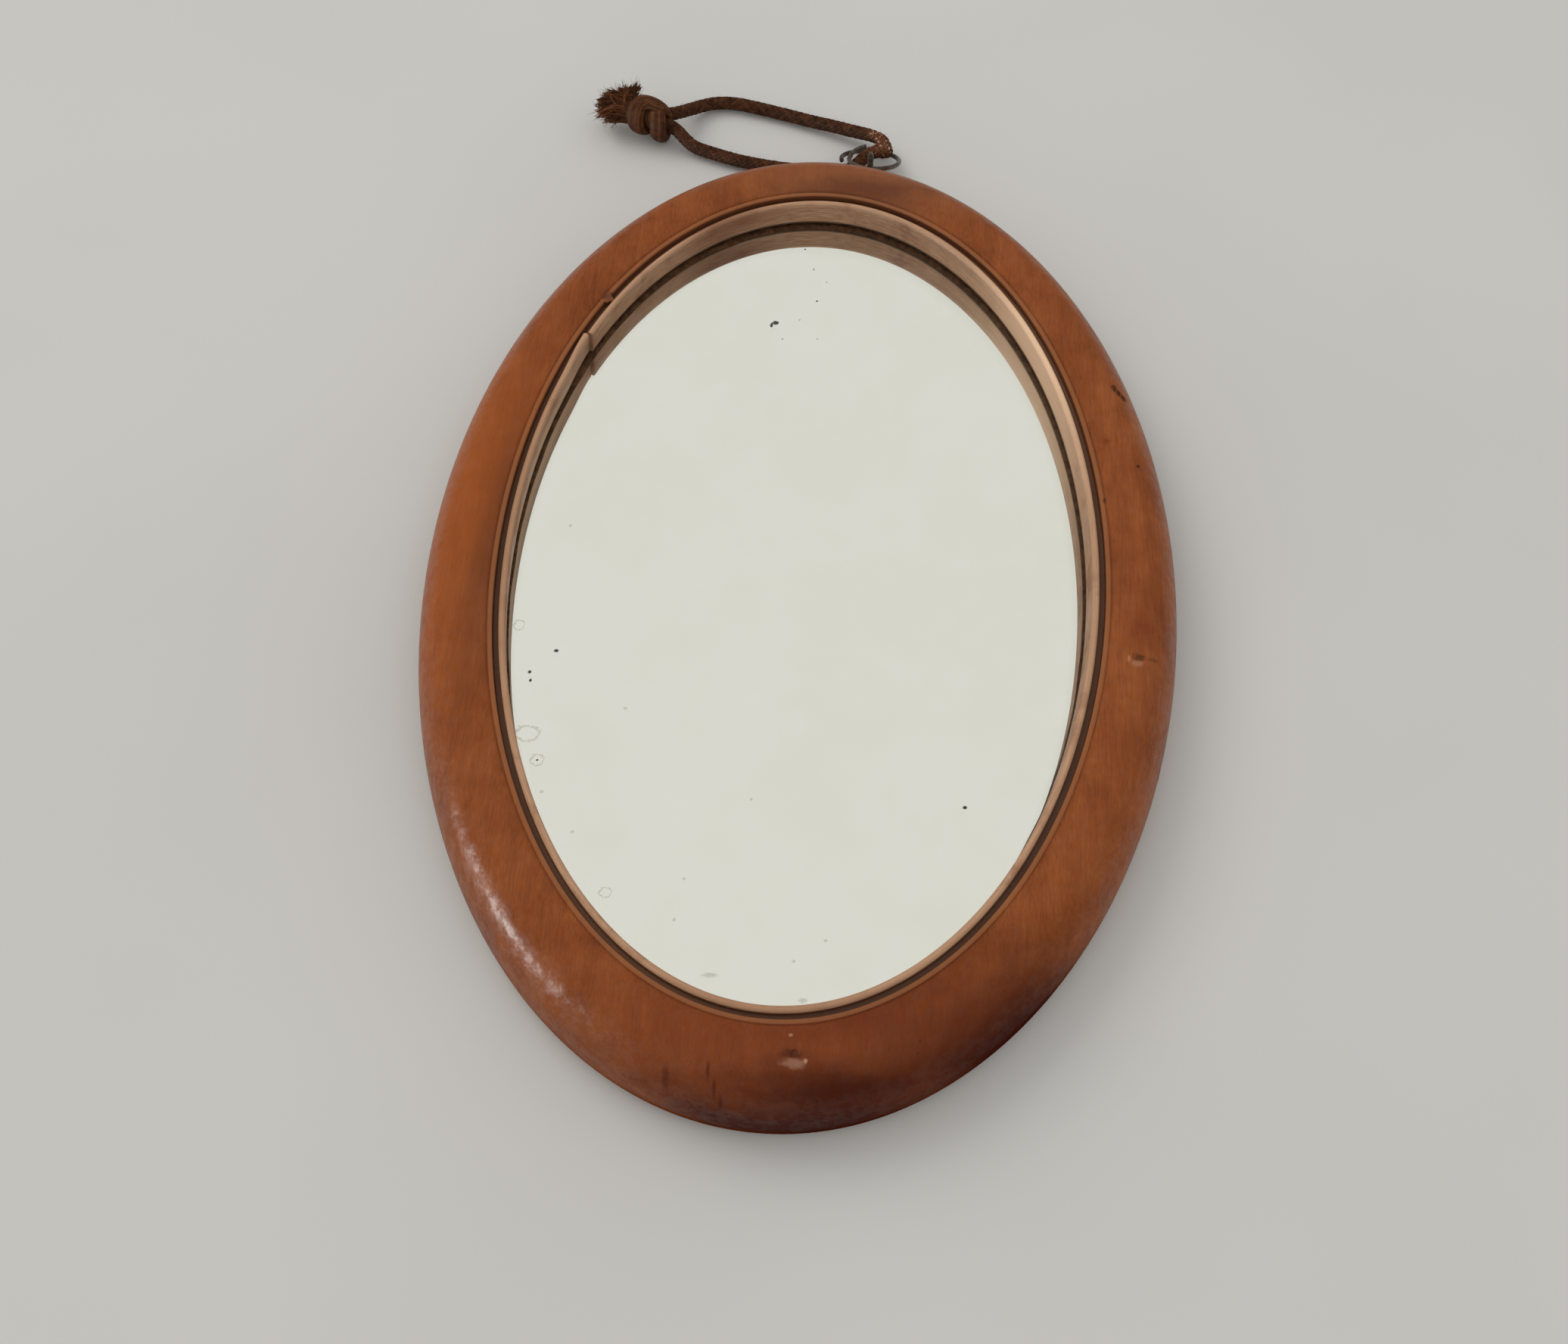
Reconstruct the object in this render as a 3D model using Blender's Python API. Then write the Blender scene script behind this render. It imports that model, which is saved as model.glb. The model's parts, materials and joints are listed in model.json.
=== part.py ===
"""Oval wall mirror: wooden frame, bent slip, glass, back, screw eye, wire ring and knotted hanging cord.

Metres, +Z out of the mirror's face, +Y towards the hanging end, the back lying on Z = 0.
"""

from math import asin, cos, pi, radians, sin, sqrt, tan

import bmesh
import bpy
from mathutils import Matrix, Vector

# Gap kept between pieces that touch
GAP = 0.0003

# How finely round shapes are cut: steps along an arc, sides round a turned piece
OVAL_SIDES = 96
LIP_STEPS = 5
DOME_STEPS = 8
BACK_EDGE_STEPS = 3
SLIP_TOP_STEPS = 6
NECK_STEPS = 4
EYE_STEPS = 24
RING_STEPS = 52
CORD_STEPS = 64
BRAD_SIDES = 8
EYE_HOLE_SIDES = 12
KNOT_SIDES = 16
WIRE_ROUNDNESS = 2
WELD_DISTANCE = 0.000002
SHARP_ANGLE = radians(40)
PIVOT_SIZE = 0.01

# Frame: an oval of constant half-round section
OVAL_WIDTH = 0.180
OVAL_LENGTH = 0.268
FRAME_WIDTH = 0.0190
FRAME_THICKNESS = 0.0200
CROWN_INSET = 0.0108
WIDEST_HEIGHT = 0.0045
BACK_EDGE_ROUND = 0.0015
LIP_WIDTH = 0.0011
LIP_DROP = 0.0016
LIP_ROUND = 0.0003
REBATE_WIDTH = 0.0040
REBATE_HEIGHT = 0.0114

# Slip: a bent strip that stands on the glass, its top set off from the frame by a groove
GROOVE_WIDTH = 0.0014
GROOVE_DEPTH = 0.0028
SLIP_WIDTH = 0.0022
SLIP_TOP_DROP = 0.0018
SLIP_JOINT_TURN = radians(149)
SLIP_JOINT_GAP = 0.0005

# Glass and back, stacked down from the rebate's ledge
PANE_CLEARANCE = 0.0005
GLASS_THICKNESS = 0.0020
PACKING_THICKNESS = 0.0005
BOARD_THICKNESS = 0.0030
BRAD_COUNT = 12
BRAD_DIAMETER = 0.0012
BRAD_LENGTH = 0.0100
BRAD_IN_WOOD = 0.0045
BRAD_HEAD = 0.0018
BRAD_HEAD_HEIGHT = 0.0005
BRAD_POINT = 0.0016

# Screw eye in the top edge
EYE_X = 0.0110
EYE_HEIGHT = 0.0095
EYE_OUTSIDE = 0.0080
EYE_WIRE = 0.0017
EYE_STANDOFF = 0.0007
EYE_IN_WOOD = 0.0080
EYE_NECK_ROUND = 0.0013
EYE_END_TURN = radians(-138)

# Wire ring: a little over one turn, its inner end spiralling up inside the outer one
RING_OUTSIDE = 0.0180
RING_WIRE = 0.0013
RING_TABLE_GAP = 0.0006
RING_SEAT_TURN = radians(-63)
RING_START_TURN = radians(192)
RING_NEAR_TURN = radians(-90)
RING_END_TURN = radians(-256)
RING_SPIRAL_IN = 0.0026
RING_SPIRAL_UP = 0.0022
RING_SPIRAL_TURN = radians(93)

# Cord: from the knot round the ring and back, x and y from the ring's centre, z above the back plane
CORD_DIAMETER = 0.0038
CORD_ROUTE = [
    (-0.0591, 0.0134, 0.0061),
    (-0.0577, 0.0135, 0.0060),
    (-0.0556, 0.0153, 0.0051),
    (-0.0531, 0.0192, 0.0033),
    (-0.0495, 0.0222, 0.0023),
    (-0.0455, 0.0236, 0.0020),
    (-0.0405, 0.0237, 0.0020),
    (-0.0345, 0.0224, 0.0020),
    (-0.0262, 0.0203, 0.0020),
    (-0.0193, 0.0181, 0.0022),
    (-0.0125, 0.0159, 0.0027),
    (-0.0065, 0.0134, 0.0034),
    (-0.0015, 0.0114, 0.0041),
    (0.0018, 0.0096, 0.0045),
    (0.0034, 0.0077, 0.0047),
    (0.0037, 0.0060, 0.0047),
    (0.0036, 0.0043, 0.0046),
    (0.0031, 0.0025, 0.0042),
    (0.0021, 0.0007, 0.0036),
    (0.0004, -0.0011, 0.0029),
    (-0.0022, -0.0025, 0.0024),
    (-0.0058, -0.0034, 0.0021),
    (-0.0100, -0.0038, 0.0020),
    (-0.0160, -0.0039, 0.0020),
    (-0.0250, -0.0028, 0.0020),
    (-0.0356, -0.0010, 0.0020),
    (-0.0440, 0.0015, 0.0020),
    (-0.0510, 0.0039, 0.0023),
    (-0.0542, 0.0060, 0.0033),
    (-0.0562, 0.0075, 0.0044),
    (-0.0583, 0.0083, 0.0053),
    (-0.0597, 0.0084, 0.0054),
]

# Knot of two fat turns, and the frayed tuft behind it
KNOT_TURN_LENGTH = 0.0058
KNOT_SHOULDER = 0.0022
KNOT_RADIUS = 0.0056
KNOT_WAIST = 0.0050
KNOT_FACE_RADIUS = 0.0048
KNOT_HEIGHT = 0.0060
TUFT_LENGTH = 0.0100
TUFT_ROOT_RADIUS = 0.0030
TUFT_BELLY_RADIUS = 0.0052
TUFT_BELLY_AT = 0.0050
TUFT_BRIM_RADIUS = 0.0062
TUFT_BRIM_AT = 0.0084
TUFT_TIP_RADIUS = 0.0046
TUFT_RISE = radians(28)

FRAME_WOOD = ((0.36, 0.13, 0.045), 0.35, 0.0)
SLIP_WOOD = ((0.55, 0.31, 0.16), 0.5, 0.0)
SILVERED_GLASS = ((0.86, 0.88, 0.86), 0.04, 1.0)
PAPER = ((0.45, 0.36, 0.25), 0.9, 0.0)
BOARD_WOOD = ((0.42, 0.27, 0.15), 0.7, 0.0)
NAIL_STEEL = ((0.22, 0.20, 0.18), 0.5, 1.0)
WIRE_STEEL = ((0.16, 0.14, 0.13), 0.4, 1.0)
WAXED_CORD = ((0.10, 0.045, 0.025), 0.7, 0.0)

# Insets from the outline, and heights, that the pieces share
LIP_INSET = FRAME_WIDTH - LIP_WIDTH
REBATE_INSET = FRAME_WIDTH - REBATE_WIDTH
PANE_INSET = REBATE_INSET + PANE_CLEARANCE
SLIP_INSET = FRAME_WIDTH + GROOVE_WIDTH
SIGHT_INSET = SLIP_INSET + SLIP_WIDTH
LIP_HEIGHT = FRAME_THICKNESS - LIP_DROP
GLASS_TOP = REBATE_HEIGHT - GAP
PACKING_TOP = GLASS_TOP - GLASS_THICKNESS - GAP
BOARD_TOP = PACKING_TOP - PACKING_THICKNESS - GAP
BRAD_HEIGHT = BOARD_TOP - BOARD_THICKNESS - GAP - BRAD_HEAD / 2


def oval_point(turn, inset):
    """A point on the oval that runs parallel to the outline, this far inside it."""
    half_width = OVAL_WIDTH / 2
    half_length = OVAL_LENGTH / 2
    outward = Vector((half_length * cos(turn), half_width * sin(turn))).normalized()
    return Vector((half_width * cos(turn), half_length * sin(turn))) - inset * outward


def outer_inset(height):
    """How far the frame's outer face stands inside the outline at a height above the widest point."""
    lift = (height - WIDEST_HEIGHT) / (FRAME_THICKNESS - WIDEST_HEIGHT)
    return CROWN_INSET * (1 - cos(asin(lift)))


def eye_centre():
    edge = OVAL_LENGTH / 2 * sqrt(1 - (2 * EYE_X / OVAL_WIDTH) ** 2) - outer_inset(EYE_HEIGHT)
    return Vector((EYE_X, edge + EYE_STANDOFF + EYE_OUTSIDE / 2, EYE_HEIGHT))


def ring_seat():
    """Where the ring's near wire rests in the eye: the axis that the ring swings on."""
    reach = EYE_OUTSIDE / 2 - EYE_WIRE - RING_WIRE / 2 - GAP
    return eye_centre() + reach * Vector((0, cos(RING_SEAT_TURN), sin(RING_SEAT_TURN)))


# The ring slopes from its seat down to the back plane, so its tilt follows from its size
RING_RADIUS = (RING_OUTSIDE - RING_WIRE) / 2
RING_TILT = asin((ring_seat().z - RING_WIRE / 2 - RING_TABLE_GAP) / (2 * RING_RADIUS))
RING_OUTWARD = Vector((0, cos(RING_TILT), -sin(RING_TILT)))
RING_UPWARD = Vector((0, sin(RING_TILT), cos(RING_TILT)))
RING_CENTRE = ring_seat() + RING_RADIUS * RING_OUTWARD

# The oval's centre sits off the origin so that frame and ring together are centred on it
FAR_EDGE = RING_CENTRE.y + RING_RADIUS * RING_OUTWARD.y + RING_WIRE / 2
OVAL_CENTRE_Y = (OVAL_LENGTH / 2 - FAR_EDGE) / 2


def clear_scene():
    for old in list(bpy.data.objects):
        bpy.data.objects.remove(old, do_unlink=True)


def new_collection(name):
    collection = bpy.data.collections.new(name)
    bpy.context.scene.collection.children.link(collection)
    return collection


def new_material(name, finish):
    colour, roughness, metallic = finish
    material = bpy.data.materials.new(name)
    material.use_nodes = True
    shader = material.node_tree.nodes["Principled BSDF"]
    shader.inputs["Base Color"].default_value = (*colour, 1)
    shader.inputs["Roughness"].default_value = roughness
    shader.inputs["Metallic"].default_value = metallic
    return material


def place(name, data, material, parent, collection, matrix=None):
    piece = bpy.data.objects.new(name, data)
    collection.objects.link(piece)
    piece.parent = parent
    if matrix is not None:
        piece.matrix_local = matrix
    if material is not None:
        data.materials.append(material)
    return piece


def new_pivot(name, location, parent, collection):
    pivot = bpy.data.objects.new(name, None)
    pivot.empty_display_size = PIVOT_SIZE
    pivot.location = location
    pivot.parent = parent
    collection.objects.link(pivot)
    return pivot


def poly_curve(name, points, cyclic, flat):
    curve = bpy.data.curves.new(name, "CURVE")
    curve.dimensions = "2D" if flat else "3D"
    spline = curve.splines.new("POLY")
    spline.points.add(len(points) - 1)
    for point, place_in_space in zip(spline.points, points):
        point.co = (*Vector(place_in_space).to_3d(), 1)
    spline.use_cyclic_u = cyclic
    return curve


def mesh_of(curve):
    """The curve's surface as a mesh, its caps welded and its faces pointing out."""
    maker = bpy.data.objects.new("maker", curve)
    bpy.context.scene.collection.objects.link(maker)
    depsgraph = bpy.context.evaluated_depsgraph_get()
    mesh = bpy.data.meshes.new_from_object(maker.evaluated_get(depsgraph))
    bpy.data.objects.remove(maker)
    work = bmesh.new()
    work.from_mesh(mesh)
    bmesh.ops.remove_doubles(work, verts=work.verts, dist=WELD_DISTANCE)
    bmesh.ops.recalc_face_normals(work, faces=work.faces)
    work.to_mesh(mesh)
    work.free()
    mesh.shade_smooth()
    mesh.set_sharp_from_angle(angle=SHARP_ANGLE)
    return mesh


def moulding(name, path, cyclic, section, guides):
    """A section of (inset, height) points swept counter-clockwise along an outline."""
    outward_first = [(-inset, height) for inset, height in section]
    profile = poly_curve(name + "_section", outward_first, True, True)
    guide = place(name + "_section", profile, None, None, guides)
    guide.hide_render = True
    guide.display_type = "WIRE"
    curve = poly_curve(name, path, cyclic, False)
    curve.twist_mode = "Z_UP"
    curve.bevel_mode = "OBJECT"
    curve.bevel_object = guide
    curve.use_fill_caps = not cyclic
    return mesh_of(curve)


def pane(name, inset, thickness):
    outline = [oval_point(2 * pi * k / OVAL_SIDES, inset) for k in range(OVAL_SIDES)]
    curve = poly_curve(name, outline, True, True)
    curve.fill_mode = "BOTH"
    curve.extrude = thickness / 2
    return mesh_of(curve)


def wire(name, points, diameter):
    curve = poly_curve(name, points, False, False)
    curve.bevel_depth = diameter / 2
    curve.bevel_resolution = WIRE_ROUNDNESS
    curve.use_fill_caps = True
    return mesh_of(curve)


def turned(name, profile, sides):
    """A mesh turned about Z from (radius, height) points, top to bottom, both ends on the axis."""
    work = bmesh.new()
    rows = [work.verts.new((radius, 0, height)) for radius, height in profile]
    edges = [work.edges.new(pair) for pair in zip(rows, rows[1:])]
    bmesh.ops.spin(
        work, geom=rows + edges, axis=(0, 0, 1), cent=(0, 0, 0), angle=2 * pi, steps=sides, use_merge=True
    )
    bmesh.ops.remove_doubles(work, verts=work.verts, dist=WELD_DISTANCE)
    bmesh.ops.recalc_face_normals(work, faces=work.faces)
    mesh = bpy.data.meshes.new(name)
    work.to_mesh(mesh)
    work.free()
    mesh.shade_smooth()
    mesh.set_sharp_from_angle(angle=SHARP_ANGLE)
    return mesh


def frame_section():
    """Back, rebate, ledge, inner wall, lip, dome and rounded back edge, as (inset, height)."""
    points = [(BACK_EDGE_ROUND, 0), (REBATE_INSET, 0), (REBATE_INSET, REBATE_HEIGHT)]
    points += [(FRAME_WIDTH, REBATE_HEIGHT), (FRAME_WIDTH, LIP_HEIGHT - LIP_ROUND)]
    points += [(FRAME_WIDTH - LIP_ROUND, LIP_HEIGHT)]
    for k in range(LIP_STEPS):
        share = 1 - k / LIP_STEPS
        inset = CROWN_INSET + share * (LIP_INSET - CROWN_INSET)
        points.append((inset, FRAME_THICKNESS - LIP_DROP * share**2))
    for k in range(DOME_STEPS + 1):
        lift = pi / 2 * (1 - k / DOME_STEPS)
        height = WIDEST_HEIGHT + (FRAME_THICKNESS - WIDEST_HEIGHT) * sin(lift)
        points.append((CROWN_INSET * (1 - cos(lift)), height))
    for k in range(1, BACK_EDGE_STEPS):
        fall = pi / 2 * k / BACK_EDGE_STEPS
        points.append((BACK_EDGE_ROUND * (1 - cos(fall)), WIDEST_HEIGHT * (1 - sin(fall))))
    return points


def slip_section():
    """A foot against the frame's wall, a groove, and a half-round top, as (inset, height)."""
    foot = GLASS_TOP + GAP
    top = FRAME_THICKNESS - SLIP_TOP_DROP
    radius = SLIP_WIDTH / 2
    points = [(SIGHT_INSET, foot), (FRAME_WIDTH + GAP, foot)]
    points += [(FRAME_WIDTH + GAP, top - GROOVE_DEPTH), (SLIP_INSET, top - GROOVE_DEPTH)]
    for k in range(SLIP_TOP_STEPS + 1):
        turn = pi * k / SLIP_TOP_STEPS
        points.append((SLIP_INSET + radius * (1 - cos(turn)), top - radius * (1 - sin(turn))))
    return points


def slip_path():
    """The outline from one side of the butt joint round to the other."""
    half_gap = SLIP_JOINT_GAP / OVAL_LENGTH
    span = 2 * pi - 2 * half_gap
    start = SLIP_JOINT_TURN + half_gap
    return [oval_point(start + span * k / OVAL_SIDES, 0) for k in range(OVAL_SIDES + 1)]


def brad_profile():
    """Head, shank and point, head up."""
    radius = BRAD_DIAMETER / 2
    head = BRAD_HEAD / 2
    return [
        (0, 0),
        (head, 0),
        (head, -BRAD_HEAD_HEIGHT),
        (radius, -BRAD_HEAD_HEIGHT),
        (radius, BRAD_POINT - BRAD_LENGTH),
        (0, -BRAD_LENGTH),
    ]


def brad_matrix(index):
    """Brad lying on the board, its point driven outwards into the rebate wall."""
    turn = 2 * pi * (index + 0.5) / BRAD_COUNT
    head_at = oval_point(turn, REBATE_INSET + BRAD_LENGTH - BRAD_IN_WOOD)
    outward = (oval_point(turn, 0) - head_at).normalized().to_3d()
    side = Vector((0, 0, 1)).cross(-outward)
    turned_to = Matrix((side, Vector((0, 0, 1)), -outward)).transposed().to_4x4()
    return Matrix.Translation((head_at.x, head_at.y, BRAD_HEIGHT)) @ turned_to


def brad_hole():
    """A plain hole from the rebate wall to just past the brad's point."""
    radius = BRAD_DIAMETER / 2 + GAP
    mouth = BRAD_IN_WOOD + 2 * GAP - BRAD_LENGTH
    end = -BRAD_LENGTH - GAP
    return [(0, mouth), (radius, mouth), (radius, end), (0, end)]


def eye_points():
    """Shank, a rounded neck and most of a circle, in the plane across the ring's wire."""
    centre = eye_centre()
    radius = (EYE_OUTSIDE - EYE_WIRE) / 2
    neck_back = sqrt(radius**2 + 2 * radius * EYE_NECK_ROUND)
    neck_turn = asin(EYE_NECK_ROUND / (radius + EYE_NECK_ROUND))
    tip = centre.y - EYE_OUTSIDE / 2 - EYE_STANDOFF - EYE_IN_WOOD
    points = [Vector((centre.x, tip, centre.z))]
    for k in range(NECK_STEPS + 1):
        bend = (pi / 2 - neck_turn) * k / NECK_STEPS
        points.append(
            centre
            + Vector((0, EYE_NECK_ROUND * sin(bend) - neck_back, EYE_NECK_ROUND * (1 - cos(bend))))
        )
    first = pi - neck_turn
    for k in range(1, EYE_STEPS + 1):
        turn = first + (EYE_END_TURN - first) * k / EYE_STEPS
        points.append(centre + radius * Vector((0, cos(turn), sin(turn))))
    return points


def ring_points():
    """The wire's centre line, measured from the axis that the ring swings on."""
    points = []
    for k in range(RING_STEPS + 1):
        turn = RING_START_TURN + (RING_END_TURN - RING_START_TURN) * k / RING_STEPS
        past = max(0, RING_NEAR_TURN - turn)
        reach = RING_RADIUS - RING_SPIRAL_IN * min(1, past / RING_SPIRAL_TURN)
        climb = RING_SPIRAL_UP * (past / (RING_NEAR_TURN - RING_END_TURN)) ** 2
        spot = reach * (cos(turn) * Vector((1, 0, 0)) + sin(turn) * RING_OUTWARD)
        spot += climb * RING_UPWARD
        points.append(RING_CENTRE + spot - ring_seat())
    return points


def smooth_route(route, steps):
    """Evenly numbered points on a smooth curve through the route."""
    knots = [Vector(point) for point in route]
    ends = [2 * knots[0] - knots[1]] + knots + [2 * knots[-1] - knots[-2]]
    points = []
    for k in range(steps + 1):
        along = (len(knots) - 1) * k / steps
        span = min(int(along), len(knots) - 2)
        t = along - span
        a, b, c, d = ends[span : span + 4]
        slope = c - a
        bend = 2 * a - 5 * b + 4 * c - d
        swerve = 3 * b - a - 3 * c + d
        points.append(b + (t * slope + t**2 * bend + t**3 * swerve) / 2)
    return points


def cord_route():
    """The route with its heights measured from the ring's centre, as its other sizes are."""
    return [(x, y, z - RING_CENTRE.z) for x, y, z in CORD_ROUTE]


def knot_matrix():
    """Knot lying across the two strands' ends, its face the touching gap away from them."""
    first, second = (Vector(cord_route()[k]) for k in (0, -1))
    across = first - second
    away = Vector((-across.y, across.x, 0)).normalized()
    face = (first + second) / 2 + GAP * away
    face.z = KNOT_HEIGHT - RING_CENTRE.z
    side = Vector((0, 0, 1)).cross(away)
    return Matrix.Translation(face) @ Matrix((side, Vector((0, 0, 1)), -away)).transposed().to_4x4()


def knot_profile():
    """Two fat turns with a waist between them, running down the knot's own axis."""
    waist = -KNOT_TURN_LENGTH
    end = -2 * KNOT_TURN_LENGTH
    return [
        (0, 0),
        (KNOT_FACE_RADIUS, 0),
        (KNOT_RADIUS, -KNOT_SHOULDER),
        (KNOT_RADIUS, waist + KNOT_SHOULDER),
        (KNOT_WAIST, waist),
        (KNOT_RADIUS, waist - KNOT_SHOULDER),
        (KNOT_RADIUS, end + KNOT_SHOULDER),
        (TUFT_ROOT_RADIUS, end),
        (0, end),
    ]


def tuft_profile():
    """A flare from the knot to the cut ends of the fibres, before it is sheared upwards."""
    return [
        (0, 0),
        (TUFT_ROOT_RADIUS, 0),
        (TUFT_BELLY_RADIUS, -TUFT_BELLY_AT),
        (TUFT_BRIM_RADIUS, -TUFT_BRIM_AT),
        (TUFT_TIP_RADIUS, -TUFT_LENGTH),
        (0, -TUFT_LENGTH),
    ]


def build_frame(root, parts, guides):
    outline = [oval_point(2 * pi * k / OVAL_SIDES, 0) for k in range(OVAL_SIDES)]
    mesh = moulding("oval_frame", outline, True, frame_section(), guides)
    frame = place("oval_frame", mesh, new_material("frame_wood", FRAME_WOOD), root, parts)
    holes = new_collection("holes")
    for k in range(BRAD_COUNT):
        hole = turned("brad_hole", brad_hole(), BRAD_SIDES)
        place(f"brad_hole_{k + 1:02d}", hole, None, root, holes, brad_matrix(k))
    centre = eye_centre()
    depth = EYE_IN_WOOD + GAP
    outside = EYE_STANDOFF + EYE_OUTSIDE / 4
    radius = EYE_WIRE / 2 + GAP
    bore_profile = [(0, outside), (radius, outside), (radius, -depth), (0, -depth)]
    bore = turned("eye_hole", bore_profile, EYE_HOLE_SIDES)
    mouth = Vector((centre.x, centre.y - EYE_OUTSIDE / 2 - EYE_STANDOFF, centre.z))
    place("eye_hole", bore, None, root, holes, Matrix.Translation(mouth) @ Matrix.Rotation(-pi / 2, 4, "X"))
    for hole in holes.objects:
        hole.hide_render = True
        hole.display_type = "WIRE"
    drill = frame.modifiers.new("drill", "BOOLEAN")
    drill.operation = "DIFFERENCE"
    drill.solver = "EXACT"
    drill.operand_type = "COLLECTION"
    drill.collection = holes


def build_slip(root, parts, guides):
    mesh = moulding("inner_slip", slip_path(), False, slip_section(), guides)
    place("inner_slip", mesh, new_material("slip_wood", SLIP_WOOD), root, parts)


def build_panes(root, parts):
    stack = [
        ("mirror_glass", GLASS_THICKNESS, GLASS_TOP, new_material("silvered_glass", SILVERED_GLASS)),
        ("packing_sheet", PACKING_THICKNESS, PACKING_TOP, new_material("paper", PAPER)),
        ("backing_board", BOARD_THICKNESS, BOARD_TOP, new_material("board_wood", BOARD_WOOD)),
    ]
    for name, thickness, top, material in stack:
        middle = Matrix.Translation((0, 0, top - thickness / 2))
        place(name, pane(name, PANE_INSET, thickness), material, root, parts, middle)


def build_brads(root, parts):
    steel = new_material("nail_steel", NAIL_STEEL)
    for k in range(BRAD_COUNT):
        mesh = turned("brad", brad_profile(), BRAD_SIDES)
        place(f"brad_{k + 1:02d}", mesh, steel, root, parts, brad_matrix(k))


def build_hanger(root, parts):
    steel = new_material("wire_steel", WIRE_STEEL)
    place("screw_eye", wire("screw_eye", eye_points(), EYE_WIRE), steel, root, parts)
    pivot = new_pivot("ring_pivot", ring_seat(), root, parts)
    place("wire_ring", wire("wire_ring", ring_points(), RING_WIRE), steel, pivot, parts)
    return pivot


def build_cord(ring_pivot, parts):
    twine = new_material("waxed_cord", WAXED_CORD)
    pivot = new_pivot("cord_pivot", RING_CENTRE - ring_seat(), ring_pivot, parts)
    route = smooth_route(cord_route(), CORD_STEPS)
    place("hanging_cord", wire("hanging_cord", route, CORD_DIAMETER), twine, pivot, parts)
    knot = knot_matrix()
    place("cord_knot", turned("cord_knot", knot_profile(), KNOT_SIDES), twine, pivot, parts, knot)
    root_of_tuft = Matrix.Translation((0, 0, -2 * KNOT_TURN_LENGTH - GAP))
    tuft = turned("cord_frayed_end", tuft_profile(), KNOT_SIDES)
    tuft.transform(Matrix.Shear("XY", 4, (0, -tan(TUFT_RISE))))
    place("cord_frayed_end", tuft, twine, pivot, parts, knot @ root_of_tuft)


def main():
    clear_scene()
    parts = new_collection("oval_wall_mirror")
    guides = new_collection("guides")
    root = new_pivot("oval_centre", (0, OVAL_CENTRE_Y, 0), None, parts)
    build_frame(root, parts, guides)
    build_slip(root, parts, guides)
    build_panes(root, parts)
    build_brads(root, parts)
    ring_pivot = build_hanger(root, parts)
    build_cord(ring_pivot, parts)


main()
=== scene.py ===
"""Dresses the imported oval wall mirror: wood, glass, wire and braided cord, on a pale floor in soft light."""

import json
import random
from math import asin, atan2, cos, pi, radians, sin, sqrt

import bpy
import numpy as np
from mathutils import Matrix, Vector


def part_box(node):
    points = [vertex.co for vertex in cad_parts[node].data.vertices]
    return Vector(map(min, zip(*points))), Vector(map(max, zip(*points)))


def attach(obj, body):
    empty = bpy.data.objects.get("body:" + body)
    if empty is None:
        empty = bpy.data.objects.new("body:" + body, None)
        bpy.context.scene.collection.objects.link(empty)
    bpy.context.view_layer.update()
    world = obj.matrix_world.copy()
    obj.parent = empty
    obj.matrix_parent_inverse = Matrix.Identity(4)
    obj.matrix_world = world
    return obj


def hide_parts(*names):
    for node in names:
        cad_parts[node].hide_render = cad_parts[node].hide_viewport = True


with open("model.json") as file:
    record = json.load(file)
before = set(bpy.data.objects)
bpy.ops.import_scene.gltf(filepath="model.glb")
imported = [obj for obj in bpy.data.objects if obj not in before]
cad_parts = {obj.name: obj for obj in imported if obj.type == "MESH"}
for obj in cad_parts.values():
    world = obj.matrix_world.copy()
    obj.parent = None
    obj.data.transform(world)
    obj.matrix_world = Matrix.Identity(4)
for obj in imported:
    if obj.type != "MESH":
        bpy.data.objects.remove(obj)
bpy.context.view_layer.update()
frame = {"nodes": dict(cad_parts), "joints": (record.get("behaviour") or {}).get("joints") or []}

MM = 0.001

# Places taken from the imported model
FRAME_LOW, FRAME_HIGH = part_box("oval_frame")
EYE_LOW, EYE_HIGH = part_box("screw_eye")
GLASS_LOW, GLASS_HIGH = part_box("mirror_glass")
BOARD_LOW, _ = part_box("backing_board")
JOINTS = {joint["name"]: joint for joint in frame["joints"]}
RING_CENTRE = Vector(JOINTS["cord_turn"]["pos_m"])
RING_UPWARD = Vector(JOINTS["cord_turn"]["axis"]).normalized()
RING_OUTWARD = RING_UPWARD.cross(Vector((1, 0, 0)))

HALF_WIDTH = (FRAME_HIGH[0] - FRAME_LOW[0]) / 2
HALF_LENGTH = (FRAME_HIGH[1] - FRAME_LOW[1]) / 2
OVAL_CENTRE_Y = (FRAME_HIGH[1] + FRAME_LOW[1]) / 2
FRAME_THICKNESS = FRAME_HIGH[2]
GLASS_TOP = GLASS_HIGH[2]

# How finely curves are cut and how sharp an edge stays
OVAL_STEPS = 180
SILVER_SIDES = 256
WIRE_ROUNDNESS = 6
EYE_STEPS = 80
NECK_STEPS = 12
RING_STEPS = 180
BRAD_SIDES = 20
CHIP_CUTS = 6
BACK_EDGE_STEPS = 5
DOME_STEPS = 26
FALL_STEPS = 10
LIP_STEPS = 3
BACK_STEPS = 6
BEAD_STEPS = 16
SLIP_WALL_STEPS = 7
NEAREST_ROUNDS = 6
WELD_DISTANCE = 0.002 * MM
SAME_PLACE = 0.01 * MM
MOULDING_SHARP = 35
WIRE_SHARP = 50
YARN_SHARP = 60

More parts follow.
